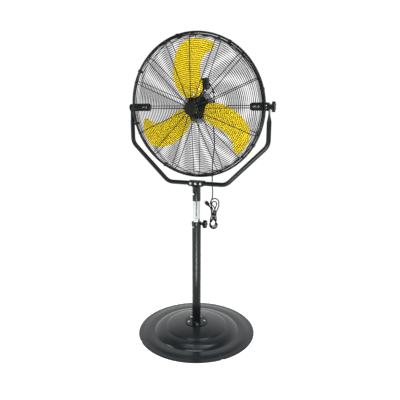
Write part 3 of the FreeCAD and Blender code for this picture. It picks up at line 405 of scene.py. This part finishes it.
studio = {
    "left": {"place": (-3.3, -2.1, 2.2), "aim": (0, 0, 1.05), "size": (1.4, 2.6), "power": 72},
    "right": {"place": (2.3, -2.5, 2.3), "aim": (0, 0, 1.1), "size": (1.1, 2.0), "power": 50},
    "front": {"place": (0.7, -2.9, 4.6), "aim": (0, 0, 1.35), "size": (3.0, 2.0), "power": 60},
    "top": {"place": (0.0, 0.6, 4.2), "aim": (0, 0, 1.0), "size": (2.4, 1.6), "power": 40},
}
surround = {"seen": 1.05, "backdrop": 0.9, "room": 0.10, "turn": (-0.15, 0.45), "ceiling": (0.45, 0.85),
            "kicker": 20.0, "low": (-0.28, -0.34), "deep": (-0.48, -0.55)}
floorLook = {"reach": 40.0, "back": 2.6, "colour": (0.85, 0.85, 0.85), "roughness": 0.9, "glow": 0.68,
             # where the gap starts, and each side's place in metres and turn in degrees from straight ahead
             "gap": {"front": -0.78, "left": (0.02, 5), "right": (0.66, 33)}}


def makeSurround():
    # a white backdrop behind, a dim room in front and a low light that shines up through the gap in the
    # floor; seen directly it is plain white all round
    world = bpy.data.worlds.new("studio")
    bpy.context.scene.world = world
    world.use_nodes = True
    tree = world.node_tree
    way = feedNode(tree, "ShaderNodeTexCoord", output=3)
    split = feedNode(tree, "ShaderNodeSeparateXYZ", values=(way,)).socket.node
    inward, upward = Signal(tree, split.outputs[1]), Signal(tree, split.outputs[2])
    behind = ramp(tree, inward, *surround["turn"])
    overhead = ramp(tree, upward, *surround["ceiling"])
    below = ramp(tree, upward, *surround["low"]) - ramp(tree, upward, *surround["deep"])
    light = behind * (1 - overhead) * surround["backdrop"]
    light = light + below * (1 - behind) * surround["kicker"] + surround["room"]
    straight = feedNode(tree, "ShaderNodeLightPath", output=0)
    strength = light + straight * (surround["seen"] - light)
    connect(tree, tree.nodes["Background"].inputs[1], strength)
    tree.nodes["Background"].inputs[0].default_value = (1, 1, 1, 1)


def makeStudio():
    for name, s in studio.items():
        data = bpy.data.lights.new(name, "AREA")
        data.shape = "RECTANGLE"
        data.size, data.size_y = s["size"]
        data.energy = s["power"]
        obj = bpy.data.objects.new(name, data)
        bpy.context.scene.collection.objects.link(obj)
        obj.location = s["place"]
        obj.rotation_euler = (Vector(s["aim"]) - Vector(s["place"])).to_track_quat("-Z", "Y").to_euler()
    makeSurround()
    bpy.context.scene.view_settings.view_transform = "Standard"
    bm = bmesh.new()
    reach, gap = floorLook["reach"], floorLook["gap"]
    y = gap["front"]
    (left, leftTurn), (right, rightTurn) = gap["left"], gap["right"]
    near = left + (reach + y) * math.tan(math.radians(leftTurn))
    far = right + (reach + y) * math.tan(math.radians(rightTurn))
    edge = [(-reach, -reach), (near, -reach), (left, y), (right, y), (far, -reach), (reach, -reach),
            (reach, floorLook["back"]), (-reach, floorLook["back"])]
    bm.faces.new([bm.verts.new((*corner, 0)) for corner in edge])
    mesh = bpy.data.meshes.new("floor")
    bm.to_mesh(mesh)
    bm.free()
    floor = bpy.data.objects.new("floor", mesh)
    bpy.context.scene.collection.objects.link(floor)
    paper = Finish("floorPaper", floorLook["colour"], floorLook["roughness"])
    paper.set("Emission Color", (1, 1, 1, 1))
    paper.set("Emission Strength", floorLook["glow"])
    floor.data.materials.append(paper.material)


makeCamera()
makeStudio()
print("camera and studio set")


# ---- cord: the lead, the hank's turns and the tail into the plug, one line
cord = {
    "radius": 0.0035,
    "sides": 14,
    "lead": [
        (0.0500, 0.1005, 1.4976), (0.0590, 0.1005, 1.4869), (0.0655, 0.106, 1.464), (0.065, 0.114, 1.425),
        (0.062, 0.120, 1.350), (0.060, 0.121, 1.272), (0.067, 0.119, 1.206), (0.070, 0.118, 1.150),
        (0.061, 0.119, 1.094), (0.0555, 0.120, 1.036), (0.057, 0.121, 0.976), (0.054, 0.122, 0.925),
        (0.0575, 0.127, 0.878), (0.055, 0.131, 0.834), (0.0485, 0.1295, 0.820), (0.0465, 0.128, 0.806),
    ],
    "settles": (0.062, 0.120, 1.330),  # the point on the lead where it comes to rest beside the yoke
    # the last stretch: up the left of the hank, over its front and out to the plug
    "tail": [
        (0.0550, 0.1160, 0.726), (0.0550, 0.1150, 0.742), (0.0545, 0.1130, 0.755), (0.0525, 0.1115, 0.7655),
        (0.0490, 0.1115, 0.7735), (0.0450, 0.1138, 0.7785), (0.0381, 0.1194, 0.7825),
    ],
    "between": 8,  # points of the drawn line between two of these
}
hank = {
    "middle": (0.068, 0.120, 0.734),
    # a strand from one fold to the other: height, share of the fold's half width, share of its shift at the
    # waist, share of its depth in the fold
    "strand": [(0.055, 0.84, 0.5, 0.85), (0.040, 0.58, 0.95, 0.3),
               (0.024, 0.33, 1.0, 0.0), (0.008, 0.11, 1.0, 0.0)],
    # a fold from right to left, in half widths from its centre
    "fold": [(1.0, -0.27), (1.0, 0.27), (0.73, 0.73), (0.27, 1.0),
             (-0.27, 1.0), (-0.73, 0.73), (-1.0, 0.27), (-1.0, -0.27)],
    "layers": (0.0074, 0.0, -0.0074),  # depth of each turn where it folds
    "lean": 0.055,  # the top hangs a little to the right of the bottom
    "waist": {"down": 0.0037, "up": -0.0037, "shift": 0.0110},
    # half width and centre height of each fold
    "tops": [(0.0205, 0.0720), (0.0260, 0.0715), (0.0150, 0.0660)],
    "bottoms": [(0.0255, -0.0715), (0.0200, -0.0680), (0.0150, -0.0620)],
}


def strandPoints(top, bottom, shift, side, deep, waist):
    # side is -1 for a strand that starts at the top left, 1 for one that ends at the top right
    x, y, z = hank["middle"]
    points = []
    for end, (half, _), sign in ((1, top, side), (-1, bottom, -side)):
        row = [(x + sign * half * out + shift * moved + hank["lean"] * end * height,
                y + waist + (deep - waist) * fanned, z + end * height)
               for height, out, moved, fanned in hank["strand"]]
        points += row if end > 0 else row[::-1]
    return points


def foldPoints(fold, start, end, up):
    half, centre = fold
    x, y, z = hank["middle"]
    last = len(hank["fold"]) - 1
    points = []
    for k, (out, rise) in enumerate(hank["fold"]):
        height = centre + rise * half * up
        depth = start + (end - start) * k / last
        points.append((x + out * half + hank["lean"] * height, y + depth, z + height))
    return points


def cordPoints():
    # the lead, then figure-eight turns: down from the top left, round the bottom, up to the top right, over
    points = list(cord["lead"])
    layers, waist = hank["layers"], hank["waist"]
    for k, (deep, top, bottom) in enumerate(zip(layers, hank["tops"], hank["bottoms"])):
        shift = (k - 1) * waist["shift"]
        points += strandPoints(top, bottom, shift, -1, deep, waist["down"])
        points += foldPoints(bottom, deep, deep, -1)
        if k + 1 < len(layers):
            following = hank["tops"][k + 1]
            points += strandPoints(following, bottom, -shift, 1, deep, waist["up"])[::-1]
            points += foldPoints(following, deep, layers[k + 1], 1)
        else:  # the last strand turns off into the tail below the waist
            rising = strandPoints(top, bottom, -shift, 1, deep, waist["up"])
            points += rising[:len(hank["strand"]):-1]
    return points + cord["tail"]


def smoothLine(name, points, resolution):
    # the points are the control points of one open spline, read back as a line
    curve = bpy.data.curves.new(name, "CURVE")
    curve.dimensions = "3D"
    spline = curve.splines.new("NURBS")
    spline.points.add(len(points) - 1)
    for spot, point in zip(spline.points, points):
        spot.co = (*point, 1)
    spline.order_u = 3
    spline.use_endpoint_u = True
    spline.resolution_u = resolution
    mesh = drawnMesh(name, curve)
    line = [vert.co.copy() for vert in mesh.vertices]
    bpy.data.meshes.remove(mesh)
    return line


def ribRows(ribs, start):
    # the outline of a ribbed relief: along each crest, down into its groove and along that
    land, foot, end = ribs["marks"]
    points = []
    for k in range(ribs["count"]):
        height = start + k * ribs["pitch"]
        crest = ribs["radius"] + k * ribs["grows"]
        groove = crest - ribs["deep"]
        points += [(crest, height), (crest, height + land), (groove, height + foot), (groove, height + end)]
    return points


plug = {
    "tail": cord["tail"][-2], "slope": 30, "back": 35, "faces": 28,
    "reliefStart": 0.006, "reliefEnd": 0.022, "bodyLength": 0.026,
    "neck": [(0.0042, 0.0), (0.0048, 0.001)],  # radius, height above the relief's start
    "ribs": {"count": 4, "first": 0.002, "pitch": 0.0034, "radius": 0.0053, "grows": 0.0004,
             "deep": 0.0009, "marks": (0.0018, 0.0021, 0.0031)},
    "shoulder": [(0.0070, -0.001), (0.0090, 0.001), (0.0102, 0.004), (0.0108, 0.012), (0.0122, 0.016)],
    "face": [(0.0128, -0.004), (0.0126, -0.001), (0.0115, 0.0), (0.0, 0.0)],  # height above the body's end
    # each size here is in millimetres, the rest in metres and degrees
    "grips": {"count": 5, "size": (1.6, 9.0, 1.3), "first": 0.004, "pitch": 0.0032, "side": 0.0103,
              "grows": 0.0003},
    "flats": {"size": (1.5, 6.3, 16), "apart": 0.00635, "aside": 0.003, "sunk": 0.0002, "edge": 0.0004},
    "earth": {"radius": 0.0024, "length": 0.018, "aside": -0.007, "faces": 20},
}


def plugPlace():
    slope, back = math.radians(plug["slope"]), math.radians(plug["back"])
    out = Vector((-math.cos(slope) * math.cos(back), math.sin(back), math.sin(slope) * math.cos(back)))
    return Matrix.Translation(plug["tail"]) @ out.to_track_quat("Z", "Y").to_matrix().to_4x4()


def millimetreBox(bm, size, middle):
    box = bmesh.ops.create_cube(bm, size=0.001)["verts"]
    bmesh.ops.scale(bm, verts=box, vec=size)
    bmesh.ops.translate(bm, verts=box, vec=middle)
    return box


def makePlug():
    start, end = plug["reliefStart"], plug["reliefEnd"]
    top = end + plug["bodyLength"]
    ribs, grips, flats, earth = plug["ribs"], plug["grips"], plug["flats"], plug["earth"]
    outline = [(0.0, start)] + [(r, start + h) for r, h in plug["neck"]]
    outline += ribRows(ribs, start + ribs["first"])
    outline += [(r, end + h) for r, h in plug["shoulder"]] + [(r, top + h) for r, h in plug["face"]]
    bm = bmesh.new()
    spinProfile(bm, outline, plug["faces"])
    for k in range(grips["count"]):  # finger grips on two sides
        height = end + grips["first"] + k * grips["pitch"]
        for side in (-1, 1):
            millimetreBox(bm, grips["size"], (side * (grips["side"] + k * grips["grows"]), 0, height))
    body = addPiece("plug_body", bm, "knobPlastic", "yoke", ["cord_plug"], place=plugPlace())
    bm = bmesh.new()
    height = top + flats["size"][2] / 2000 - flats["sunk"]
    for side in (-1, 1):
        millimetreBox(bm, flats["size"], (side * flats["apart"], flats["aside"], height))
    easeEdges(bm, flats["edge"])
    pin = bmesh.ops.create_cone(bm, cap_ends=True, segments=earth["faces"], radius1=earth["radius"],
                                radius2=earth["radius"], depth=earth["length"])
    bmesh.ops.translate(bm, verts=pin["verts"], vec=(0, earth["aside"], top + earth["length"] / 2))
    return [body, addPiece("plug_pins", bm, "brassPin", "yoke", place=plugPlace())]


tie = {"half": (0.0158, 0.0082), "wall": 0.0011, "height": 0.010, "bulge": 0.16, "faces": 32}


def makeTie():
    # a flat band snug round the narrow middle of the hank
    bm = bmesh.new()
    for wall in (0.0, tie["wall"]):
        loop = bmesh.ops.create_circle(bm, segments=tie["faces"], radius=1.0)["verts"]
        for vert in loop:
            square = 1.0 + tie["bulge"] * abs(math.sin(2 * math.atan2(vert.co.y, vert.co.x)))
            vert.co.x *= (tie["half"][0] + wall) * square
            vert.co.y *= (tie["half"][1] + wall) * square
    bmesh.ops.bridge_loops(bm, edges=bm.edges[:])
    band = bmesh.ops.extrude_face_region(bm, geom=bm.faces[:])["geom"]
    verts = [g for g in band if isinstance(g, bmesh.types.BMVert)]
    bmesh.ops.translate(bm, verts=verts, vec=(0, 0, tie["height"]))
    x, y, z = hank["middle"]
    bmesh.ops.translate(bm, verts=bm.verts, vec=(x, y, z - tie["height"] / 2))
    return addPiece("hank_tie", bm, "knobPlastic", "yoke", ["cord_tie"])


gland = {
    "start": (0.0360, 0.1005, 1.5143), "slope": 50, "length": 0.030, "sunk": 0.006, "faces": 28,
    "collar": [(0.0, 0.0), (0.0066, 0.0), (0.0074, 0.0012), (0.0074, 0.0045), (0.0066, 0.006)],
    "ribs": {"count": 5, "first": 0.0068, "pitch": 0.0042, "radius": 0.0068, "grows": -0.00042,
             "deep": 0.0009, "marks": (0.0022, 0.0027, 0.0037)},
    "mouth": [(0.0047, -0.002), (0.0045, 0.0), (0.0030, 0.0), (0.0, -0.001)],  # height above the relief's end
    # the nut's hexagon and its round flange: radius, low and high end, faces
    "nut": [(0.0098, -0.0042, 0.0012, 6), (0.0086, 0.0012, 0.0042, 28)],
    "edge": 0.0005,
}


def makeGland():
    # a plated nut on the switch box and a ribbed bending relief that tapers down onto the cord
    slope = math.radians(gland["slope"])
    ahead = Vector((math.cos(slope), 0, -math.sin(slope)))
    start = Vector(gland["start"]) - ahead * gland["sunk"]
    place = Matrix.Translation(start) @ ahead.to_track_quat("Z", "Y").to_matrix().to_4x4()
    outline = gland["collar"] + ribRows(gland["ribs"], gland["ribs"]["first"])
    outline += [(r, gland["length"] + h) for r, h in gland["mouth"]]
    bm = bmesh.new()
    spinProfile(bm, outline, gland["faces"])
    relief = addPiece("gland_relief", bm, "knobPlastic", "head", ["cord_gland"], place=place)
    bm = bmesh.new()
    for radius, low, high, sides in gland["nut"]:
        part = bmesh.ops.create_cone(bm, cap_ends=True, segments=sides, radius1=radius, radius2=radius,
                                     depth=high - low)
        bmesh.ops.translate(bm, verts=part["verts"], vec=(0, 0, (low + high) / 2))
    easeEdges(bm, gland["edge"])
    level = Matrix.Rotation(headTilt, 4, "X") @ Matrix.Rotation(math.pi / 2, 4, "Y")
    place = Matrix.Translation(gland["start"]) @ level
    return [relief, addPiece("gland_nut", bm, "zincPlate", "head", place=place)]


def makeCord():
    # the lead leaves the head at the gland and hangs down beside the yoke
    pieces = makeGland() + makePlug() + [makeTie()]
    line = smoothLine("cord_line", cordPoints(), cord["between"])
    bm = bmesh.new()
    pullTube(bm, line, cord["radius"], cord["sides"])
    lead = addPiece("mains_cord", bm, "cordSheath", None, ["cord_lead", "cord_hank"], 60)
    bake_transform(lead)


makeCord()
print("cord made")


# ---- guards
wires = {
    "hoop": 0.0056, "spoke": 0.0023, "ring": 0.0016, "gap": 0.00005,  # wire radii, and between ring and spoke
    "hoopRadius": 0.3944, "weld": 0.38995,  # the hoop's centre, and where the spokes start inside it
    "pitch": 0.0104, "first": 0.0025,  # along the guard, from ring to ring and from the weld to the first
    "spokes": 16, "pair": 0.0066, "paired": 8,  # the rear's level spokes are doubled, half this far each way
    "outerShare": 0.46, "bendSteps": 6, "rest": (0.25, 0.5, 0.75, 1.0),
    "faces": {"hoop": (16, 160), "ring": 6, "outer": 112, "inner": 88, "spoke": 10},
}
guards = {
    "front": {"hoopDepth": -0.02275, "shoulder": (0.378, -0.072), "nose": (0.036, -0.088), "bend": 0.024,
              "hole": 0.043},
    "rear": {"hoopDepth": -0.01445, "shoulder": (0.378, 0.020), "nose": (0.080, 0.02705), "bend": 0.016,
             "hole": 0.096},
}


class GuardLine:
    # hoop to shoulder to nose, with one round bend, in (radius, depth)
    def __init__(self, guard):
        start = Vector((wires["weld"], guard["hoopDepth"]))
        corner, end = Vector(guard["shoulder"]), Vector(guard["nose"])
        self.first = (corner - start).normalized()
        self.second = (end - corner).normalized()
        self.bend = guard["bend"]
        self.turn = self.first.angle(self.second)
        reach = self.bend * math.tan(self.turn / 2)
        self.start = start
        self.entry, self.leave = corner - self.first * reach, corner + self.second * reach
        self.run = (self.entry - start).length
        self.arc = self.bend * self.turn
        self.length = self.run + self.arc + (end - self.leave).length
        self.side = 1 if self.first.x * self.second.y - self.first.y * self.second.x > 0 else -1

    def inward(self, share):
        first = Vector((-self.first.y, self.first.x)) * self.side
        return Matrix.Rotation(self.turn * share * self.side, 2) @ first

    def at(self, distance):
        if distance <= self.run:
            return self.start + self.first * distance, self.inward(0)
        if distance <= self.run + self.arc:
            share = (distance - self.run) / self.arc
            centre = self.entry + self.inward(0) * self.bend
            return centre - self.inward(share) * self.bend, self.inward(share)
        return self.leave + self.second * (distance - self.run - self.arc), self.inward(1)

    def rings(self, hole):
        found = []
        for k in range(int((self.length - wires["first"]) / wires["pitch"]) + 1):
            spot, inward = self.at(wires["first"] + k * wires["pitch"])
            spot = spot + inward * (wires["spoke"] + wires["ring"] + wires["gap"])
            if spot.x > hole:
                found.append(spot)
        return found


def makeGuard(name, guard):
    line = GuardLine(guard)
    faces = wires["faces"]
    bm = bmesh.new()
    spinRing(bm, wires["hoopRadius"], guard["hoopDepth"], wires["hoop"], *faces["hoop"])
    addPiece(name + "_hoop_look", bm, "wirePaint", "head", [name + "_hoop"], 60, onHead)
    rings = line.rings(guard["hole"])
    outer = int(wires["outerShare"] * len(rings))
    for part, spots in (("outer", rings[:outer]), ("inner", rings[outer:])):
        bm = bmesh.new()
        for spot in spots:
            spinRing(bm, spot.x, spot.y, wires["ring"], faces["ring"], faces[part])
        node = f"{name}_{part}_rings"
        addPiece(node + "_look", bm, "wirePaint", "head", [node], 75, onHead)
    bend = line.run + line.arc
    distances = [0, line.run * 0.5]
    distances += [line.run + line.arc * k / wires["bendSteps"] for k in range(wires["bendSteps"] + 1)]
    distances += [bend + (line.length - bend) * share for share in wires["rest"]]
    bm = bmesh.new()
    pullTube(bm, [(line.at(d)[0].x, line.at(d)[0].y, 0) for d in distances], wires["spoke"], faces["spoke"])
    spoke = bm.verts[:] + bm.edges[:] + bm.faces[:]
    for k in range(wires["spokes"]):
        shifts = (-wires["pair"], wires["pair"]) if name == "rear" and k % wires["paired"] == 0 else (0,)
        turn = Matrix.Rotation(2 * math.pi * k / wires["spokes"], 3, "Y")
        for shift in shifts:
            copied = bmesh.ops.duplicate(bm, geom=spoke)["geom"]
            verts = [g for g in copied if isinstance(g, bmesh.types.BMVert)]
            bmesh.ops.rotate(bm, verts=verts, cent=(0, 0, 0), matrix=turn)
            bmesh.ops.translate(bm, verts=verts, vec=(0, 0, shift))
    bmesh.ops.delete(bm, geom=[g for g in spoke if isinstance(g, bmesh.types.BMVert)], context="VERTS")
    addPiece(name + "_spokes_look", bm, "wirePaint", "head", [name + "_spokes"], 60, onHead)


for name, guard in guards.items():
    makeGuard(name, guard)
print("guards made")

cap = {
    "outline": [(0.0, -0.0998), (0.012, -0.0997), (0.0245, -0.0992), (0.031, -0.0978), (0.0352, -0.0957),
                (0.0368, -0.0951), (0.0382, -0.0938), (0.039, -0.0915), (0.039, -0.0906), (0.0378, -0.0902),
                (0.0, -0.0902)],
    "faces": 72,
}


def makeCap():
    bm = bmesh.new()
    spinProfile(bm, cap["outline"], cap["faces"], level=True)
    addPiece("front_cap_look", bm, "capPlastic", "head", ["front_cap"], 28, onHead)


makeCap()
print("cap made")

# ---- blades
blade = {
    "outline": [  # millimetres: sideways, outwards
        (-22, 54), (-50, 58), (-80, 88), (-100, 130), (-108, 180), (-104, 238), (-84, 300), (-46, 346),
        (0, 360), (46, 359), (86, 350), (108, 334), (107, 314), (80, 293), (52, 266), (36, 222),
        (34, 176), (40, 130), (38, 92), (20, 66),
    ],
    "count": 3, "plane": -25.0, "thickness": 0.0016,
    "root": 60, "tip": 362.0, "rootPitch": 24, "tipPitch": 15,  # millimetres from the spin axis, degrees
    # the middle line's place at the root and its shift up to the tip
    "middle": {"first": -22, "moves": 20},
    "camber": 9.0, "halfChord": 110.0, "rootCamber": 0.2,  # the share of the camber that the root has
    "between": 8,  # points of the drawn outline between two of these
    "grid": {"sideways": 0.018, "half": 6, "outwards": 0.0175, "first": 0.058, "rows": 18},  # metres
}


def bladeDepth(x, u):
    share = (u - blade["root"]) / (blade["tip"] - blade["root"])
    pitch = math.radians(blade["rootPitch"] + (blade["tipPitch"] - blade["rootPitch"]) * share)
    centre = blade["middle"]["first"] + blade["middle"]["moves"] * share
    camber = blade["camber"] * (1 - ((x - centre) / blade["halfChord"]) ** 2)
    camber *= min(1.0, max(0.0, share + blade["rootCamber"]))
    return blade["plane"] + (x - centre) * math.tan(pitch) - camber


def cutAcross(bm, place, way):
    bmesh.ops.bisect_plane(bm, geom=bm.verts[:] + bm.edges[:] + bm.faces[:], plane_co=place, plane_no=way)


def bladeSheet():
    # the outline drawn as a smooth closed curve, filled, cut into a grid, pushed onto the pitch and then
    # given its thickness
    curve = bpy.data.curves.new("outline", "CURVE")
    spline = curve.splines.new("BEZIER")
    spline.bezier_points.add(len(blade["outline"]) - 1)
    for spot, (x, u) in zip(spline.bezier_points, blade["outline"]):
        spot.co = (x / 1000, 0, u / 1000)
        spot.handle_left_type = spot.handle_right_type = "AUTO"
    spline.use_cyclic_u = True
    spline.resolution_u = blade["between"]
    curve.dimensions = "3D"
    drawn = drawnMesh("outline", curve)
    bm = bmesh.new()
    bm.from_mesh(drawn)
    bpy.data.meshes.remove(drawn)
    bmesh.ops.remove_doubles(bm, verts=bm.verts, dist=mergeWithin)
    bmesh.ops.contextual_create(bm, geom=bm.edges[:])
    grid = blade["grid"]
    for k in range(-grid["half"], grid["half"] + 1):
        cutAcross(bm, (k * grid["sideways"], 0, 0), (1, 0, 0))
    for k in range(grid["rows"]):
        cutAcross(bm, (0, 0, grid["first"] + k * grid["outwards"]), (0, 0, 1))
    for vert in bm.verts:
        vert.co.y = bladeDepth(vert.co.x * 1000, vert.co.z * 1000) / 1000
    bmesh.ops.recalc_face_normals(bm, faces=bm.faces)
    if sum(face.normal.y for face in bm.faces) < 0:
        bmesh.ops.reverse_faces(bm, faces=bm.faces)
    bmesh.ops.solidify(bm, geom=bm.faces[:], thickness=-blade["thickness"])
    return bm


def makeBlades():
    for k in range(blade["count"]):
        bm = bladeSheet()
        turn = Matrix.Rotation(2 * math.pi * k / blade["count"], 3, "Y")
        bmesh.ops.rotate(bm, verts=bm.verts, cent=(0, 0, 0), matrix=turn)
        node = f"blade_{k + 1}"
        addPiece(node + "_look", bm, "bladePaint", "rotor", [node], 40, onHead)


makeBlades()
print("blades made")

# ---- base cover: pressed sheet with a domed middle, a shallow step and a rim line
cover = {
    "thickness": 2.5, "edge": 362.0, "faces": 192, "arcSteps": 14,
    # places along the top in (radius, height), millimetres; apron and slope give a drop from foot and under
    "bore": 15, "flat": 60, "seat": (78, 54.5), "domeMiddle": (131, 48.5), "step": (184, 38),
    "groove": (187, 35.5), "flareMiddle": (232.5, 26.75), "foot": (262, 9), "apron": (290, 0.2),
    "line": (321, 8.5), "under": (325, 6.5), "slope": (341, 0.95), "rim": (358, 4.5),
    "lip": [(-1.2, 4.0), (-0.2, 3.0), (0.0, 2.0), (0.0, 1.0), (-1.5, 1.0)],  # from the edge
    "corners": (45, 135, 225, 315),
    # cuts at each corner: from and to, measured from the edge, and how wide
    "cuts": {"notch": (-4, 5, 16), "slot": (-36, -32, 10)}, "cutHeight": 25, "cutMiddle": 7.5,
}


def bow(first, middle, last, steps):
    # a shallow arc from first to last through middle
    pull = [2 * m - (a + b) / 2 for a, m, b in zip(first, middle, last)]
    found = []
    for k in range(steps + 1):
        t = k / steps
        found.append(tuple((1 - t) ** 2 * a + 2 * t * (1 - t) * p + t * t * b
                           for a, p, b in zip(first, pull, last)))
    return found


def coverLine(drop):
    # from the bore out to the rim, lowered by drop
    def at(name):
        radius, height = cover[name]
        return radius, height - drop

    seat, foot, under = at("seat"), at("foot"), at("under")
    steps = cover["arcSteps"]
    points = [(cover["bore"], seat[1]), (cover["flat"], seat[1])]
    points += bow(seat, at("domeMiddle"), at("step"), steps)
    points += bow(at("groove"), at("flareMiddle"), foot, steps)
    apron = (cover["apron"][0], foot[1] - cover["apron"][1])
    slope = (cover["slope"][0], under[1] - cover["slope"][1])
    return points + [apron, at("line"), under, slope, at("rim")]


def makeCover():
    edge = cover["edge"]
    outline = coverLine(0) + [(edge + out, z) for out, z in cover["lip"]]
    outline += coverLine(cover["thickness"])[::-1]
    bm = bmesh.new()
    spinProfile(bm, [(r / 1000, z / 1000) for r, z in outline + outline[:1]], cover["faces"])
    bmesh.ops.recalc_face_normals(bm, faces=bm.faces)
    uncut = bpy.data.meshes.new("uncut")
    bm.to_mesh(uncut)
    bm.free()
    knives = bmesh.new()
    for angle in cover["corners"]:
        turn = Matrix.Rotation(math.radians(angle), 3, "Z")
        for first, last, wide in cover["cuts"].values():
            size = (last - first, wide, cover["cutHeight"])
            middle = ((2 * edge + first + last) / 2000, 0, cover["cutMiddle"] / 1000)
            box = millimetreBox(knives, size, middle)
            bmesh.ops.rotate(knives, verts=box, cent=(0, 0, 0), matrix=turn)
    knifeMesh = bpy.data.meshes.new("knives")
    knives.to_mesh(knifeMesh)
    knives.free()
    pair = [bpy.data.objects.new(mesh.name, mesh) for mesh in (uncut, knifeMesh)]
    for obj in pair:
        bpy.context.scene.collection.objects.link(obj)
    cut = pair[0].modifiers.new("notches", "BOOLEAN")
    cut.object = pair[1]
    cut.solver = "EXACT"
    bpy.context.view_layer.update()
    shaped = bpy.data.meshes.new_from_object(pair[0].evaluated_get(bpy.context.evaluated_depsgraph_get()))
    bm = bmesh.new()
    bm.from_mesh(shaped)
    for obj in pair:
        bpy.data.objects.remove(obj)
    for mesh in (uncut, knifeMesh, shaped):
        bpy.data.meshes.remove(mesh)
    addPiece("base_cover_look", bm, "baseEnamel", "base", ["base_cover"], 40)


makeCover()
print("base made")

# ---- pieces that keep their CAD shape: merged, smoothed, edges eased
refined = {  # finish, and how wide its edges are eased in metres
    "pole_flange": ("blackPowder", 0.0004), "flange_fixings": ("zincPlate", 0.0003),
    "outer_pole": ("blackPowder", 0), "pole_bush": ("knobPlastic", 0),
    "pole_collar": ("blackPowder", 0.0003), "collar_screw": ("zincPlate", 0.0003),
    "clamp_knob": ("knobPlastic", 0.0012), "mast_tube": ("chromePlate", 0), "yoke_tube": ("blackPowder", 0),
    "yoke_saddle": ("blackPowder", 0.0006), "saddle_fixings": ("zincPlate", 0.0003),
    "yoke_sleeve": ("blackPowder", 0.0004), "sleeve_bolt": ("zincPlate", 0.0003),
    "hoop_clips": ("wirePaint", 0.0002), "side_brackets": ("blackPowder", 0.0005),
    "bracket_fixings": ("dullZinc", 0.0002), "pivot_fixings": ("zincPlate", 0.0004),
    "pivot_washers": ("knobPlastic", 0.0004), "tilt_knob": ("knobPlastic", 0.0015),
    "motor_front_shell": ("motorPaint", 0.0005), "motor_rear_shell": ("motorPaint", 0.0005),
    "motor_mount_ring": ("dullZinc", 0.0003), "motor_fixings": ("zincPlate", 0.0003),
    "box_bracket": ("blackPowder", 0.0003), "switch_box": ("boxPlastic", 0.0006),
    "switch_box_lid": ("boxPlastic", 0.0006), "box_screws": ("zincPlate", 0.0002),
    "speed_knob": ("knobPlastic", 0.0006), "cap_plate": ("zincPlate", 0.0003),
    "blade_spider": ("motorPaint", 0.0003), "rotor_fixings": ("zincPlate", 0.0002),
    "rotor_shaft": ("zincPlate", 0.0004),
}
hidden = {
    "base_ballast": "castIron", "floor_pads": "padRubber", "mast_bushes": "knobPlastic",
    "stator_core": "coreSheets", "rotor_core": "coreSheets", "stator_windings": "copperWire",
    "shaft_bearings": "zincPlate", "rotary_switch": "boxPlastic", "capacitor": "capacitorCase",
}
for node, (finish, edge) in refined.items():
    refine(node, finish, edge)
for node, finish in hidden.items():  # these keep their CAD mesh
    mesh = frame["nodes"][node].data
    mesh.materials.clear()
    mesh.materials.append(finishes[finish])
print("refined pieces made")
